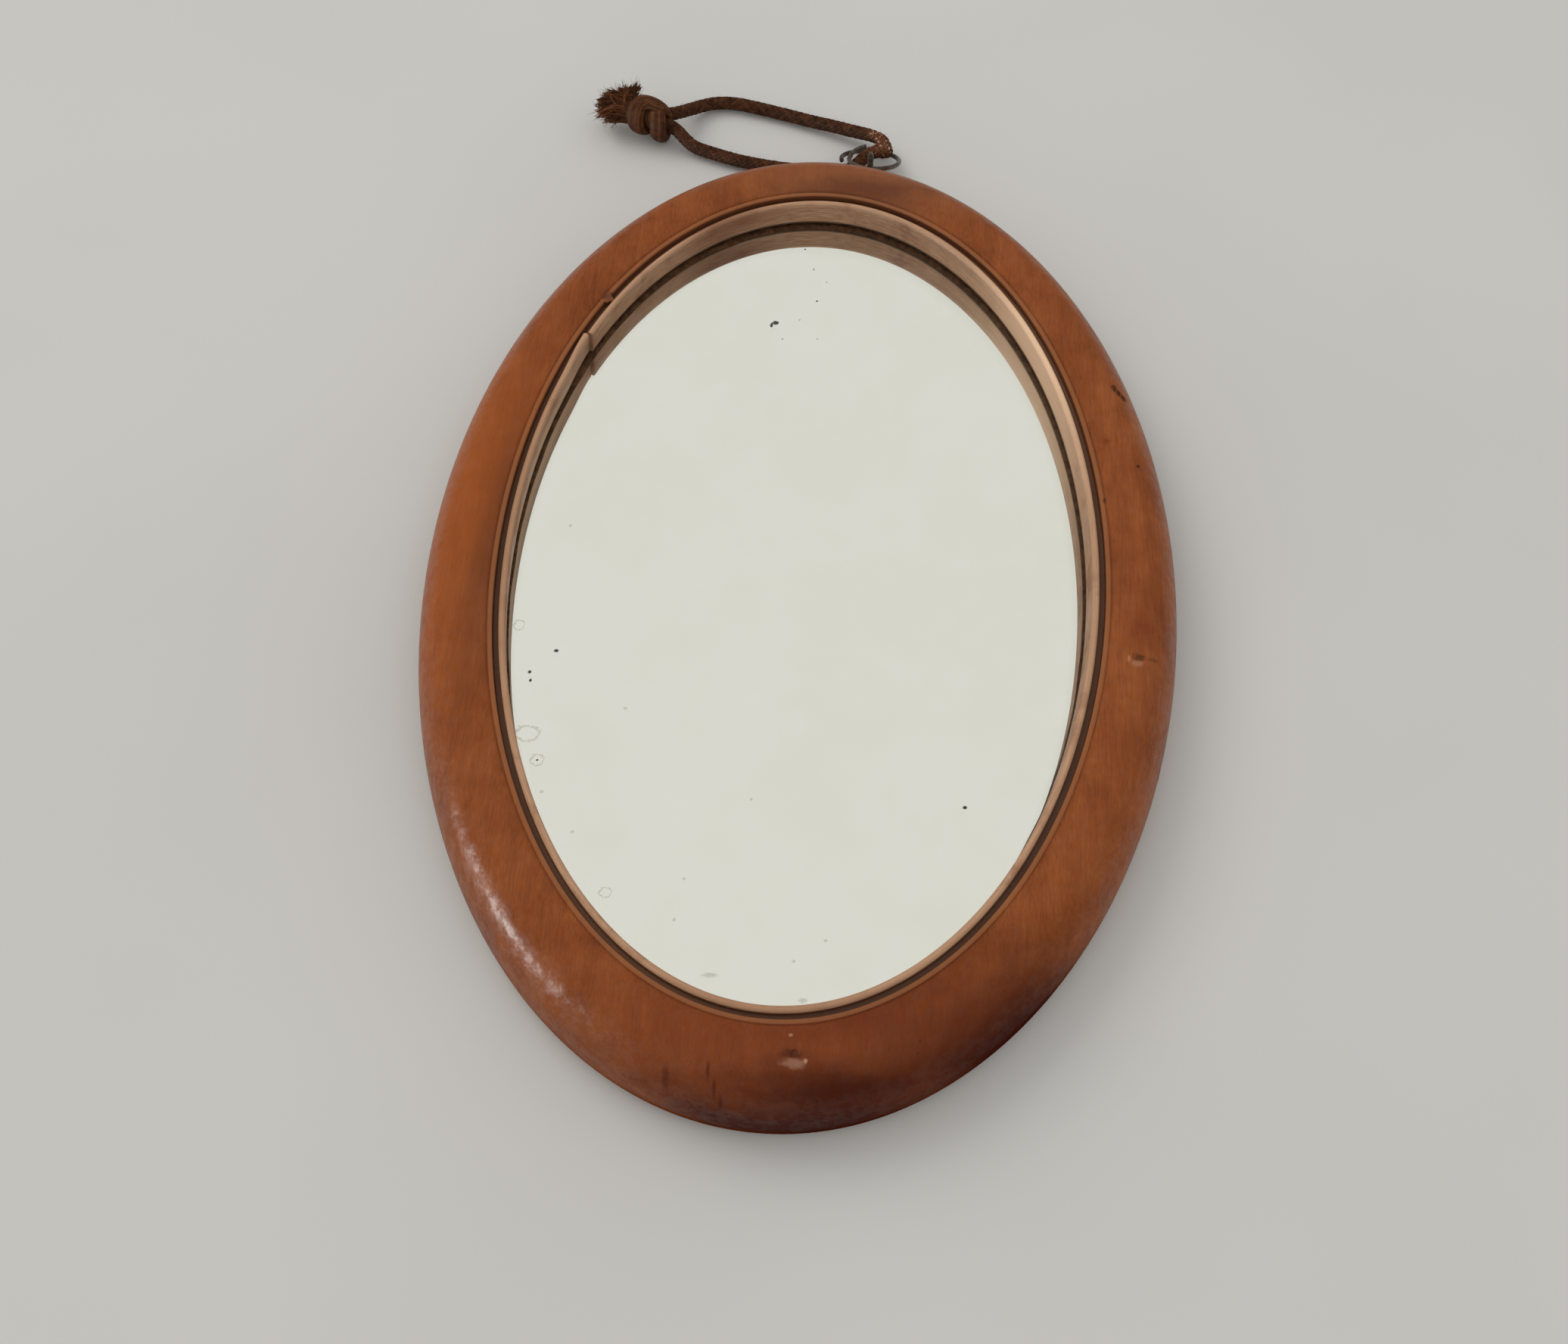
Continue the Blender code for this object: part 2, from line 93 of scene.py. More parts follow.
# Frame section
FRAME_WIDTH = 19.0 * MM
CROWN_INSET = 10.8 * MM
WIDEST_HEIGHT = 4.5 * MM
BACK_EDGE_ROUND = 1.5 * MM
LIP_WIDTH = 1.1 * MM
LIP_DROP = 1.6 * MM
LIP_ROUND = 0.3 * MM
LIP_EDGE_WIDTH = 0.15 * MM
LIP_EDGE_DROP = 0.05 * MM
LIP_EDGE_RISE = 0.02 * MM
LIP_CROWN_RISE = 0.03 * MM
QUIRK_WIDTH = 0.35 * MM
QUIRK_DEPTH = 0.08 * MM
REBATE_WIDTH = 4.0 * MM
REBATE_HEIGHT = 11.4 * MM

# Slip section
SLIP_CLEARANCE = 0.05 * MM
SLIP_FOOT_GAP = 0.03 * MM
GROOVE_WIDTH = 1.35 * MM
GROOVE_DEPTH = 1.6 * MM
GROOVE_ROUND = 0.15 * MM
SLIP_WIDTH = 1.7 * MM
SLIP_TOP_DROP = 1.8 * MM
SLIP_FOOT_ROUND = 0.2 * MM
SLIP_LEAN = -0.15 * MM
SLIP_LEAN_SWING = 0.65 * MM
SLIP_RUN_MM = 590.0
SLIP_GIRTH_MM = 24.0

# The slip's joint: where it is, how much is cut out, and the lower end's step outwards, backwards and up
SLIP_JOINT_TURN = radians(149)
SLIP_JOINT_GAP = radians(0.5)
SLIP_JOINT_HOLD = 1.6 * SLIP_JOINT_GAP
SLIP_JOINT_STEP = (0.75, 0.3, 0.15)
SLIP_JOINT_REACH = 14

# The opening is fuller than an oval parallel to the outline
OPENING_WIDER = 0.2 * MM
OPENING_FULLER = 0.75 * MM
EASE_FROM = 9.0 * MM
EASE_TO = 17.0 * MM

# Silvering behind the glass
SILVER_GAP = 0.06 * MM
SILVER_MARGIN = 0.4 * MM
SILVER_BORDER = 0.5 * MM
SILVER_THICKNESS = 0.1 * MM
# The rim strip is tarnish at the silvering's edge and, where it shows past the slip's foot, also a painted
# reflection of the slip
RIM_THICKNESS = 0.02 * MM
RIM_HIDDEN = 2.0 * MM
RIM_REACH = 0.35 * MM
RIM_REACH_AT_TOP = 0.8 * MM
RIM_RAGGED = 0.12 * MM
MIRROR_TILT = (0.055, 0.0, 0.0)

# Brads behind the board
BRAD_COUNT = 12
BRAD_DIAMETER = 1.2 * MM
BRAD_LENGTH = 10.0 * MM
BRAD_IN_WOOD = 4.5 * MM
BRAD_HEAD = 1.8 * MM
BRAD_HEAD_HEIGHT = 0.5 * MM
BRAD_HEAD_BEVEL = 0.3 * BRAD_HEAD_HEIGHT
BRAD_HEAD_TOP_SHARE = 0.75
BRAD_POINT = 1.6 * MM
BRAD_POINT_SHARE = 0.12
BRAD_CLEARANCE = 0.3 * MM
BRAD_SEED = 21

# Screw eye and ring
EYE_OUTSIDE = 8.0 * MM
EYE_WIRE = 1.7 * MM
EYE_STANDOFF = 0.7 * MM
EYE_IN_WOOD = 8.0 * MM
EYE_NECK_ROUND = 1.3 * MM
EYE_END_TURN = radians(-138)
RING_OUTSIDE = 18.0 * MM
RING_WIRE = 1.3 * MM
RING_START_TURN = radians(192)
RING_NEAR_TURN = radians(-90)
RING_END_TURN = radians(-256)
RING_SPIRAL_IN = 2.6 * MM
RING_SPIRAL_UP = 2.2 * MM
RING_SPIRAL_TURN = radians(93)

# Cord: x and y from the ring's centre, z above the back plane, in millimetres
CORD_DIAMETER = 3.8 * MM
UPPER_RUN = [
    (3.7, 6.0, 4.7), (3.4, 7.7, 4.7), (1.8, 9.6, 4.5), (-1.5, 11.4, 4.1), (-6.5, 13.4, 3.4),
    (-12.5, 15.9, 2.7), (-19.3, 18.1, 2.2), (-26.2, 20.3, 2.05), (-34.5, 22.4, 2.05), (-40.5, 23.7, 2.05),
    (-45.5, 23.6, 2.05), (-49.5, 22.2, 2.3), (-53.1, 19.2, 3.3), (-55.6, 15.6, 5.1), (-57.7, 13.5, 6.0),
    (-59.1, 13.0, 6.2),
]
LOWER_RUN = [
    (3.7, 6.0, 4.7), (4.3, 4.6, 4.9), (4.1, 3.4, 5.2), (3.0, 2.9, 5.4), (1.2, 3.1, 5.2), (-0.8, 2.5, 4.3),
    (-2.8, 0.9, 3.3), (-4.8, -0.9, 2.55), (-7.2, -2.2, 2.15), (-10.5, -2.9, 2.05), (-16.0, -3.0, 2.05),
    (-25.0, -2.5, 2.05), (-35.6, -0.9, 2.05), (-44.0, 1.5, 2.05), (-51.0, 3.9, 2.3), (-54.2, 6.0, 3.3),
    (-56.2, 7.5, 4.4), (-58.3, 8.5, 5.4), (-59.7, 9.0, 5.8),
]
UPPER_SEED, LOWER_SEED, KNOT_SEED, TUFT_SEED = 11, 12, 13, 14
CORD_STEP = 0.22 * MM
SPAN_STEPS = 40
REDRAW_STEPS = 12
CARRIERS = 8
BRAID_TWIST = 467.0
YARN_HALF_WIDTH = 0.50 * MM
YARN_HALF_HEIGHT = 0.24 * MM
YARN_WAVE = 0.12 * MM
CORE_RADIUS = 1.35 * MM
CORE_SIDES = 10
YARN_SIDES = 6
HAIR_SIDES = 3
FIBRE_SIDES = 4
BEND_SPREAD = 0.38
BEND_REACH = 5.5 * MM
LOWEST_FIBRE = 0.15 * MM
HAIR_POINTS = 5
FUZZ_COUNT = 160
FUZZ_REACH = 1.75 * MM
FUZZ_LOWEST = 0.4 * MM
FUZZ_RADIUS = 0.03 * MM

# Length along a cord that is far from the ring, where nothing is rubbed
UNWORN = 0.05

# Knot: two flattened strands round one axis that points away from the loop. Each place is a turn from the
# top towards the front in degrees, millimetres along the axis from its middle, and millimetres out from it.
# A run of cord enters at KNOT_ENTRY before the middle, some millimetres sideways and up
KNOT_CENTRE = np.array((-65.1, 11.4, 6.3)) * MM
KNOT_AWAY = (-0.95, 0.30, 0.12)
KNOT_LENGTH = 11.6 * MM
KNOT_STRAND_HALF_WIDTH = 2.75 * MM
KNOT_STRAND_HALF_HEIGHT = 1.75 * MM
KNOT_CORE_RADIUS = 3.4 * MM
KNOT_CORE_SIDES = 20
KNOT_CORE_POINTS = 20
STRAND_CORE_SIDES = 24
KNOT_YARNS = 34
KNOT_TUCK_SHARE = 0.13
KNOT_ENTRY = 2.6 * MM
UPPER_ENTRY = (-1.8, 0.4)
LOWER_ENTRY = (1.4, 0.6)
OUTER_STRAND = [
    (-60, -6.0, 1.4), (-40, -4.7, 2.6), (-16, -2.2, 3.7), (-8, 1.0, 4.1), (16, 2.9, 4.2), (52, 3.2, 4.2),
    (90, 2.6, 4.2), (125, 1.8, 4.2), (165, 0.8, 4.0), (210, -0.3, 3.6), (260, -1.2, 2.5), (300, -1.6, 1.2),
]
INNER_STRAND = [
    (-10, -0.6, 1.2), (16, -2.0, 2.6), (49, -3.5, 3.6), (76, -4.3, 4.1), (116, -4.6, 4.2), (150, -4.6, 4.1),
    (200, -4.2, 3.6), (250, -3.4, 2.5), (290, -2.4, 1.2),
]

# Tuft: clumps of fibre that fan from the knot, with how far they reach in millimetres at each lean in degrees
TUFT_CLUMPS = 46
TUFT_CLUMP_FIBRES = 44
TUFT_CLUMP_HAIRS = 10
TUFT_ROOT_RADIUS = 3.2 * MM
TUFT_ROOT_DEPTH = 3.4 * MM
TUFT_ROOT_GAP = 0.2 * MM
TUFT_SCATTER = 1.5 * MM
TUFT_HAIR_SCATTER = 0.8 * MM
TUFT_HAIR_RADIUS = 0.05 * MM
TUFT_ELBOW_SHARE = 0.4
TUFT_ELBOW_SPREAD = 1.6
TUFT_UPWARD = (0.05, 0.50, 0.86)
TUFT_LEANS = (-63, -45, -30, -10, 5, 20, 45, 80, 105)
TUFT_REACHES = (5.5, 8.4, 11.4, 11.8, 11.0, 9.2, 7.4, 7.0, 8.4)
FIBRE_TAPER = np.array((1, 1, 1, 1, 0.97, 0.92, 0.8, 0.4))

# Camera fitted to the photograph
CAMERA_PLACE = Vector((0.00596, -0.22469, 0.32608))
CAMERA_RIGHT = Vector((0.9977, 0.0665, 0.0129))
CAMERA_FORWARD = Vector((-0.0225, 0.5040, -0.8634))
CAMERA_LENS = 36.49
CAMERA_SENSOR = 36.0

# Floor and lamps: place, aim, width, height, power and colour
FLOOR_SIZE = 6
FLOOR_DROP = 0.3 * MM
WINDOW = ((-1.7, 1.2, 2.0), (0, 0, 0), 1.8, 1.4, 22.0, (1.0, 0.99, 0.97))
GLINT = ((-1.0, -0.38, 0.08), (0, 0, 0.01), 0.4, 0.15, 12.0, (1.0, 0.96, 0.93))
ROOM_COLOUR = (1.0, 0.99, 0.97, 1)
ROOM_STRENGTH = 0.78
POLISH_STRENGTH = 0.12


def tone(red, green, blue):
    """A colour named in screen values, 0 to 255, as the linear values that a shader takes."""
    shares = [value / 255 for value in (red, green, blue)]
    return tuple(s / 12.92 if s <= 0.04045 else ((s + 0.055) / 1.055) ** 2.4 for s in shares) + (1.0,)


WOOD_DARK = tone(112, 58, 30)
WOOD_MID = tone(136, 73, 37)
WOOD_LIGHT = tone(154, 88, 46)
WOOD_RED = tone(112, 52, 28)
WOOD_DULL = tone(96, 56, 38)
# Dark stain, also laid as painted shade low on the outer slope along the bottom
WOOD_STAIN_AND_SHADE = tone(62, 19, 8)
WOOD_WARM = tone(158, 82, 34)
WOOD_GREY = tone(130, 86, 60)
WOOD_BARE = tone(166, 126, 104)
# Pale tan laid on the lip as a painted highlight
LIP_TAN = tone(146, 96, 62)
GROOVE_BROWN = tone(100, 62, 40)
# Dark dirt, also laid as painted shade in the quirk and at the slip's foot
GRIME_AND_SHADE = tone(40, 25, 17)
SLIP_TAN = tone(204, 162, 128)
SLIP_PALE = tone(238, 198, 162)
SLIP_BROWN = tone(170, 126, 94)
BOARD_DARK = tone(140, 98, 66)
BOARD_PALE = tone(182, 140, 100)
BOARD_FIGURE = tone(112, 74, 48)
BOARD_DAMP = tone(86, 58, 40)
PAPER_DARK = tone(150, 122, 92)
PAPER_PALE = tone(186, 158, 122)
PAPER_FLECK = tone(96, 72, 50)
GLASS_CLEAR = tone(255, 255, 254)
GLASS_HAZE = tone(254, 254, 252)
SILVER = tone(246, 246, 243)
SILVER_DULL = tone(245, 245, 241)
SPECK = tone(44, 42, 36)
FOXING = tone(196, 190, 176)
# Browns of the tarnished rim, which also stand in as a painted reflection of the slip
TARNISH_AND_REFLECTION_DARK = tone(92, 58, 36)
TARNISH_AND_REFLECTION_LIGHT = tone(132, 92, 62)
FLOOR_GREY = tone(199, 198, 195)
FLOOR_PALE = tone(202, 201, 198)
MIRROR_VIEW = tone(228, 228, 222)
CORD_DARK = tone(46, 27, 16)
CORD_BROWN = tone(79, 46, 26)
CORD_LIGHT = tone(116, 71, 42)
# Painted glints on the cord's fibres
CORD_GLINT = tone(160, 128, 108)
# Pale streaks of wear, partly painted sheen
CORD_WORN_SHEEN = tone(206, 166, 148)
# Browned steel, also painted shade for the eye under the cord
STEEL_BROWN_AND_SHADE = tone(56, 42, 34)
STEEL_DARK = tone(84, 75, 68)
STEEL_LIGHT = tone(128, 117, 109)
RUST = tone(98, 68, 52)

# Stains, marks and painted light and shade: place and size in millimetres from the oval's centre, colour and
# strength
FRAME_STAINS_AND_PAINTED_LIGHT = [
    # A warmer, lighter tone down the left: partly the wood's own tone, partly painted light from the left
    ((-82, 10, 15), (30, 95, 40), WOOD_WARM, 0.55),
    # Greyer across the top: painted sheen, standing for the grazing reflection on the far side
    ((25, 122, 18), (75, 22, 30), WOOD_GREY, 0.5),
    # Redder and darker along the bottom and low on its outer slope: stain, and painted shade where the slope
    # faces away from the window
    ((20, -120, 14), (90, 45, 30), WOOD_RED, 0.6),
    ((48, -112, 6), (68, 38, 22), WOOD_STAIN_AND_SHADE, 1.0),
    ((8, -133, 6), (54, 15, 16), WOOD_STAIN_AND_SHADE, 1.0),
    ((14, -128, 15), (28, 10, 10), WOOD_STAIN_AND_SHADE, 0.8),
    ((-72, -8, 19), (7, 60, 6), WOOD_DULL, 0.45),
    ((10, 117, 19.4), (27, 7, 6), WOOD_DULL, 0.75),
    ((78.5, -19.5, 20), (5, 7, 5), WOOD_RED, 0.6),
    ((72.3, 35.0, 19.6), (1.6, 1.6, 2), WOOD_RED, 0.7),
    ((-10.9, -126.2, 18.5), (0.6, 3.0, 3), WOOD_STAIN_AND_SHADE, 0.6),
    ((-9.5, -129.2, 16.3), (0.6, 3.0, 4), WOOD_STAIN_AND_SHADE, 0.6),
    ((-8.1, -131.5, 13.0), (0.7, 2.8, 5), WOOD_STAIN_AND_SHADE, 0.6),
    ((-19.3, -127.5, 15), (1.2, 4.0, 7.0), WOOD_STAIN_AND_SHADE, 0.5),
]
FRAME_MARKS_AND_PAINTED_GLINTS = [
    # The bottom knock: bare wood, darker in its upper part, a painted glint at its right end and a pale speck
    # above it
    ((5.7, -124.2, 19.9), (3.4, 1.4, 2), WOOD_BARE, 0.5),
    ((5.2, -122.3, 20), (3.0, 1.1, 2), GRIME_AND_SHADE, 0.45),
    ((8.0, -123.6, 19.9), (0.6, 0.6, 1), SLIP_TAN, 0.55),
    ((4.8, -118.5, 19.4), (0.6, 0.5, 1), SLIP_TAN, 0.4),
    # The right dent: bare wood, darker in its upper part and in a smudge to the right, and a painted highlight
    # on its left rim
    ((77.0, -28.0, 20), (2.0, 1.3, 2), WOOD_BARE, 0.45),
    ((77.6, -26.4, 20), (2.0, 1.0, 2), GRIME_AND_SHADE, 0.6),
    ((80.8, -26.6, 19.2), (2.2, 0.8, 2), GRIME_AND_SHADE, 0.35),
    ((75.2, -26.9, 19.9), (0.5, 1.2, 1), SLIP_TAN, 0.3),
    ((75.0, 52.4, 19.3), (1.1, 1.7, 2), GRIME_AND_SHADE, 0.65),
    ((76.1, 51.2, 18.8), (1.1, 1.7, 2), GRIME_AND_SHADE, 0.7),
    ((77.3, 50.0, 18.2), (1.0, 1.7, 2), GRIME_AND_SHADE, 0.7),
    ((83.5, -50.0, 8), (1.2, 2.0, 2), GRIME_AND_SHADE, 0.6),
    ((79.8, 28.0, 19.5), (0.6, 0.6, 1), GRIME_AND_SHADE, 0.9),
    ((71.5, 17.9, 18.4), (0.6, 1.2, 2), GRIME_AND_SHADE, 0.6),
    ((-54.7, 74.1, 18.2), (2.0, 2.6, 2), WOOD_DULL, 0.7),
]
SLIP_PATCHES_AND_PAINTED_LIGHT = [
    # Darker at the upper left and along the left
    ((-30, 104, 16), (34, 14, 8), WOOD_DARK, 0.6),
    ((-67, 0, 16), (14, 85, 10), SLIP_BROWN, 0.8),
    # Painted light low on the left wall, which is in shade, so that its reflection reads tan
    ((-66, 10, 13), (10, 100, 4), SLIP_PALE, 0.7),
    # Darker along the bottom
    ((0, -112, 16), (60, 12, 8), SLIP_BROWN, 0.7),
    # Painted light on the inner wall at the upper right, where light from the left falls on it
    ((56, 62, 16), (28, 64, 14), SLIP_PALE, 0.95),
]

# Knocks on the frame: two shallow ones on the crown, a notch, a nick on the outside and a splinter that
# bridges the groove. Each has its place and reach, and pushes made in turn: an offset, a move and a size,
# all in millimetres, and how the size falls off
FRAME_CHIPS = [
    ((5.6, -123.2, 19.9), 5.5, [
        ((0.0, 0.0, 0.0), (0, 0, -0.45), 3.0, "SMOOTH"),
        ((-1.8, 0.3, 0.0), (0, 0, -0.25), 1.8, "SMOOTH"),
        ((1.8, 0.2, 0.0), (0, 0, -0.3), 1.6, "SMOOTH"),
        ((0.2, 0.8, 0.0), (0, 0.1, -0.3), 0.9, "SPHERE"),
    ]),
    ((77.2, -27.0, 20.0), 5.0, [
        ((0.0, 0.0, 0.0), (0, 0, -0.5), 1.9, "SMOOTH"),
        ((1.6, 0.3, 0.0), (0, 0, -0.3), 1.8, "SMOOTH"),
        ((-0.4, 0.7, 0.0), (0, 0, -0.3), 1.0, "SPHERE"),
    ]),
    ((76.1, 51.3, 18.8), 4.0, [
        ((-1.4, 1.4, 0.5), (-0.15, -0.1, -0.45), 0.9, "SPHERE"),
        ((-0.5, 0.5, 0.2), (-0.15, -0.1, -0.55), 0.9, "SPHERE"),
        ((0.5, -0.5, -0.2), (-0.15, -0.1, -0.55), 0.9, "SPHERE"),
        ((1.4, -1.4, -0.6), (-0.15, -0.1, -0.45), 0.9, "SPHERE"),
    ]),
    ((83.5, -50.0, 8.0), 4.0, [
        ((0.0, 0.6, 0.0), (-0.6, 0.2, -0.3), 1.4, "SHARP"),
        ((0.0, -0.6, 0.0), (-0.5, 0.2, -0.3), 1.4, "SPHERE"),
    ]),
    ((-54.4, 73.2, 18.1), 2.5, [
        ((0.0, 0.0, 0.0), (0.7, -0.6, -0.1), 1.4, "SPHERE"),
        ((0.6, 0.7, 0.0), (0.6, -0.5, -0.2), 1.0, "SPHERE"),
    ]),
]

# Places on the silvering, in millimetres from the oval's centre: x, y, width and height
DARK_SPECKS = [
    (-11.6, 76.1, 1.1, 0.8), (-12.6, 75.2, 0.5, 0.9), (-55.3, -28.5, 0.7, 0.5), (-60.6, -34.6, 0.5, 0.5),
    (-60.1, -36.8, 0.4, 0.5), (39.7, -61.8, 0.6, 0.5), (-55.6, -57.0, 0.3, 0.3), (-9.4, 70.6, 0.25, 0.2),
    (-5.3, 77.6, 0.2, 0.2), (-1.1, 84.6, 0.4, 0.3), (1.1, 91.6, 0.2, 0.2), (-2.6, 96.0, 0.25, 0.3),
    (-0.3, 71.3, 0.2, 0.2), (-5.4, 103.3, 0.35, 0.25),
]
FAINT_SPOTS = [
    (-56.8, 6.9, 0.6, 0.6), (-37.6, -42.5, 0.7, 0.6), (-21.4, -92.4, 0.6, 0.6), (-20.2, -83.0, 0.6, 0.5),
    (-45.5, -73.8, 0.6, 0.6), (-53.5, -64.7, 0.7, 0.6), (-7.3, -63.2, 0.5, 0.5), (-12.8, -104.0, 2.4, 0.8),
    (4.4, -99.8, 0.6, 0.5), (10.8, -94.8, 0.6, 0.5), (6.8, -108.1, 1.4, 0.8),
]
FOXED_RINGS = [
    (-64.9, -22.2, 1.5, 1.6), (-58.8, -50.5, 3.4, 2.2), (-55.6, -57.0, 1.8, 1.6), (-36.6, -87.3, 1.6, 1.3),
]


# Selecting and finishing pieces

def deselect():
    bpy.ops.object.select_all(action="DESELECT")


def activate(piece):
    deselect()
    piece.select_set(True)
    bpy.context.view_layer.objects.active = piece


def mode(name):
    bpy.ops.object.mode_set(mode=name)


def apply_transforms():
    bpy.ops.object.transform_apply(location=True, rotation=True, scale=True)


def new_object(name, data):
    made = bpy.data.objects.new(name, data)
    bpy.context.scene.collection.objects.link(made)
    return made


def choose(piece, kind, test):
    """Leaves the piece in edit mode with the vertices or faces selected that pass the test on their place."""
    activate(piece)
    mode("EDIT")
    bpy.ops.mesh.select_mode(type=kind)
    bpy.ops.mesh.select_all(action="DESELECT")
    mode("OBJECT")
    if kind == "FACE":
        for face in piece.data.polygons:
            face.select = test(face.center)
    else:
        for vertex in piece.data.vertices:
            vertex.select = test(vertex.co)
    mode("EDIT")


def drag(move, size, falloff, connected=False):
    """Moves the chosen points, drawing those around them along; both in millimetres."""
    bpy.ops.transform.translate(
        value=Vector(move) * MM,
        use_proportional_edit=True,
        use_proportional_connected=connected,
        proportional_edit_falloff=falloff,
        proportional_size=size * MM,
    )
    mode("OBJECT")


def tidy_mesh(piece, sharp_degrees=40):
    """Merges doubled points, turns the faces outwards and smooths all but the sharp edges."""
    activate(piece)
    mode("EDIT")
    bpy.ops.mesh.select_all(action="SELECT")
    bpy.ops.mesh.remove_doubles(threshold=WELD_DISTANCE)
    bpy.ops.mesh.normals_make_consistent(inside=False)
    mode("OBJECT")
    bpy.ops.object.shade_smooth_by_angle(angle=radians(sharp_degrees))


def shift_to_oval(piece):
    """Puts a piece that was made about the origin round the oval's own centre."""
    activate(piece)
    piece.location = (0, OVAL_CENTRE_Y, 0)
    apply_transforms()


def finish_piece(piece, material, body, slot, *nodes):
    piece.data.materials.clear()
    piece.data.materials.append(material)
    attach(piece, body)
    if nodes:
        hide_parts(*nodes)
    return piece


# Lines and ovals

def unit(rows):
    return rows / np.linalg.norm(rows, axis=-1, keepdims=True)


def ease(share):
    return share * share * (3 - 2 * share)


def oval_point(turn, inset):
    """A point on the oval that runs parallel to the outline, this far inside it."""
    outward = Vector((HALF_LENGTH * cos(turn), HALF_WIDTH * sin(turn))).normalized()
    return Vector((HALF_WIDTH * cos(turn), HALF_LENGTH * sin(turn))) - inset * outward


def on_oval(x, y, z):
    """A place given in millimetres from the oval's centre and the back plane."""
    return Vector((x * MM, y * MM + OVAL_CENTRE_Y, z * MM))


def oval_turns(places):
    """The turn of the outline's point nearest to each place, by repeated correction."""
    x, y = places[:, 0], places[:, 1]
    turns = np.arctan2(y / HALF_LENGTH, x / HALF_WIDTH)
    for _ in range(NEAREST_ROUNDS):
        reach_x, reach_y = HALF_WIDTH * np.cos(turns), HALF_LENGTH * np.sin(turns)
        speed_x, speed_y = -HALF_WIDTH * np.sin(turns), HALF_LENGTH * np.cos(turns)
        along = (x - reach_x) * speed_x + (y - reach_y) * speed_y
        bend = -(x - reach_x) * reach_x - (y - reach_y) * reach_y - speed_x**2 - speed_y**2
        turns = turns - along / bend
    return turns


def ease_opening(piece, lean_by_turn=None):
    """Draws the inner part of a moulding outwards where the opening is fuller than an oval. A slip's inner
    wall is also leant: lean_by_turn gives how far its foot stands inwards."""
    places = np.empty(len(piece.data.vertices) * 3)
    piece.data.vertices.foreach_get("co", places)
    places = places.reshape(-1, 3)
    flat = places[:, :2] - (0, OVAL_CENTRE_Y)
    turns = oval_turns(flat)
    outward = unit(np.stack([HALF_LENGTH * np.cos(turns), HALF_WIDTH * np.sin(turns)], axis=1))
    outline = np.stack([HALF_WIDTH * np.cos(turns), HALF_LENGTH * np.sin(turns)], axis=1)
    inset = np.sum((outline - flat) * outward, axis=1)
    share = np.clip((inset - EASE_FROM) / (EASE_TO - EASE_FROM), 0, 1)
    move = ease(share) * (OPENING_WIDER + OPENING_FULLER * np.sin(2 * turns) ** 2)
    if lean_by_turn:
        top = FRAME_THICKNESS - SLIP_TOP_DROP
        low = np.clip((top - places[:, 2]) / (top - GLASS_TOP), 0, 1)
        inner = np.clip((inset - FRAME_WIDTH - SLIP_CLEARANCE) / GROOVE_WIDTH, 0, 1)
        move -= lean_by_turn(turns) * low * inner
    places[:, :2] += outward * move[:, None]
    piece.data.vertices.foreach_set("co", places.ravel())
    piece.data.update()


# Material nodes

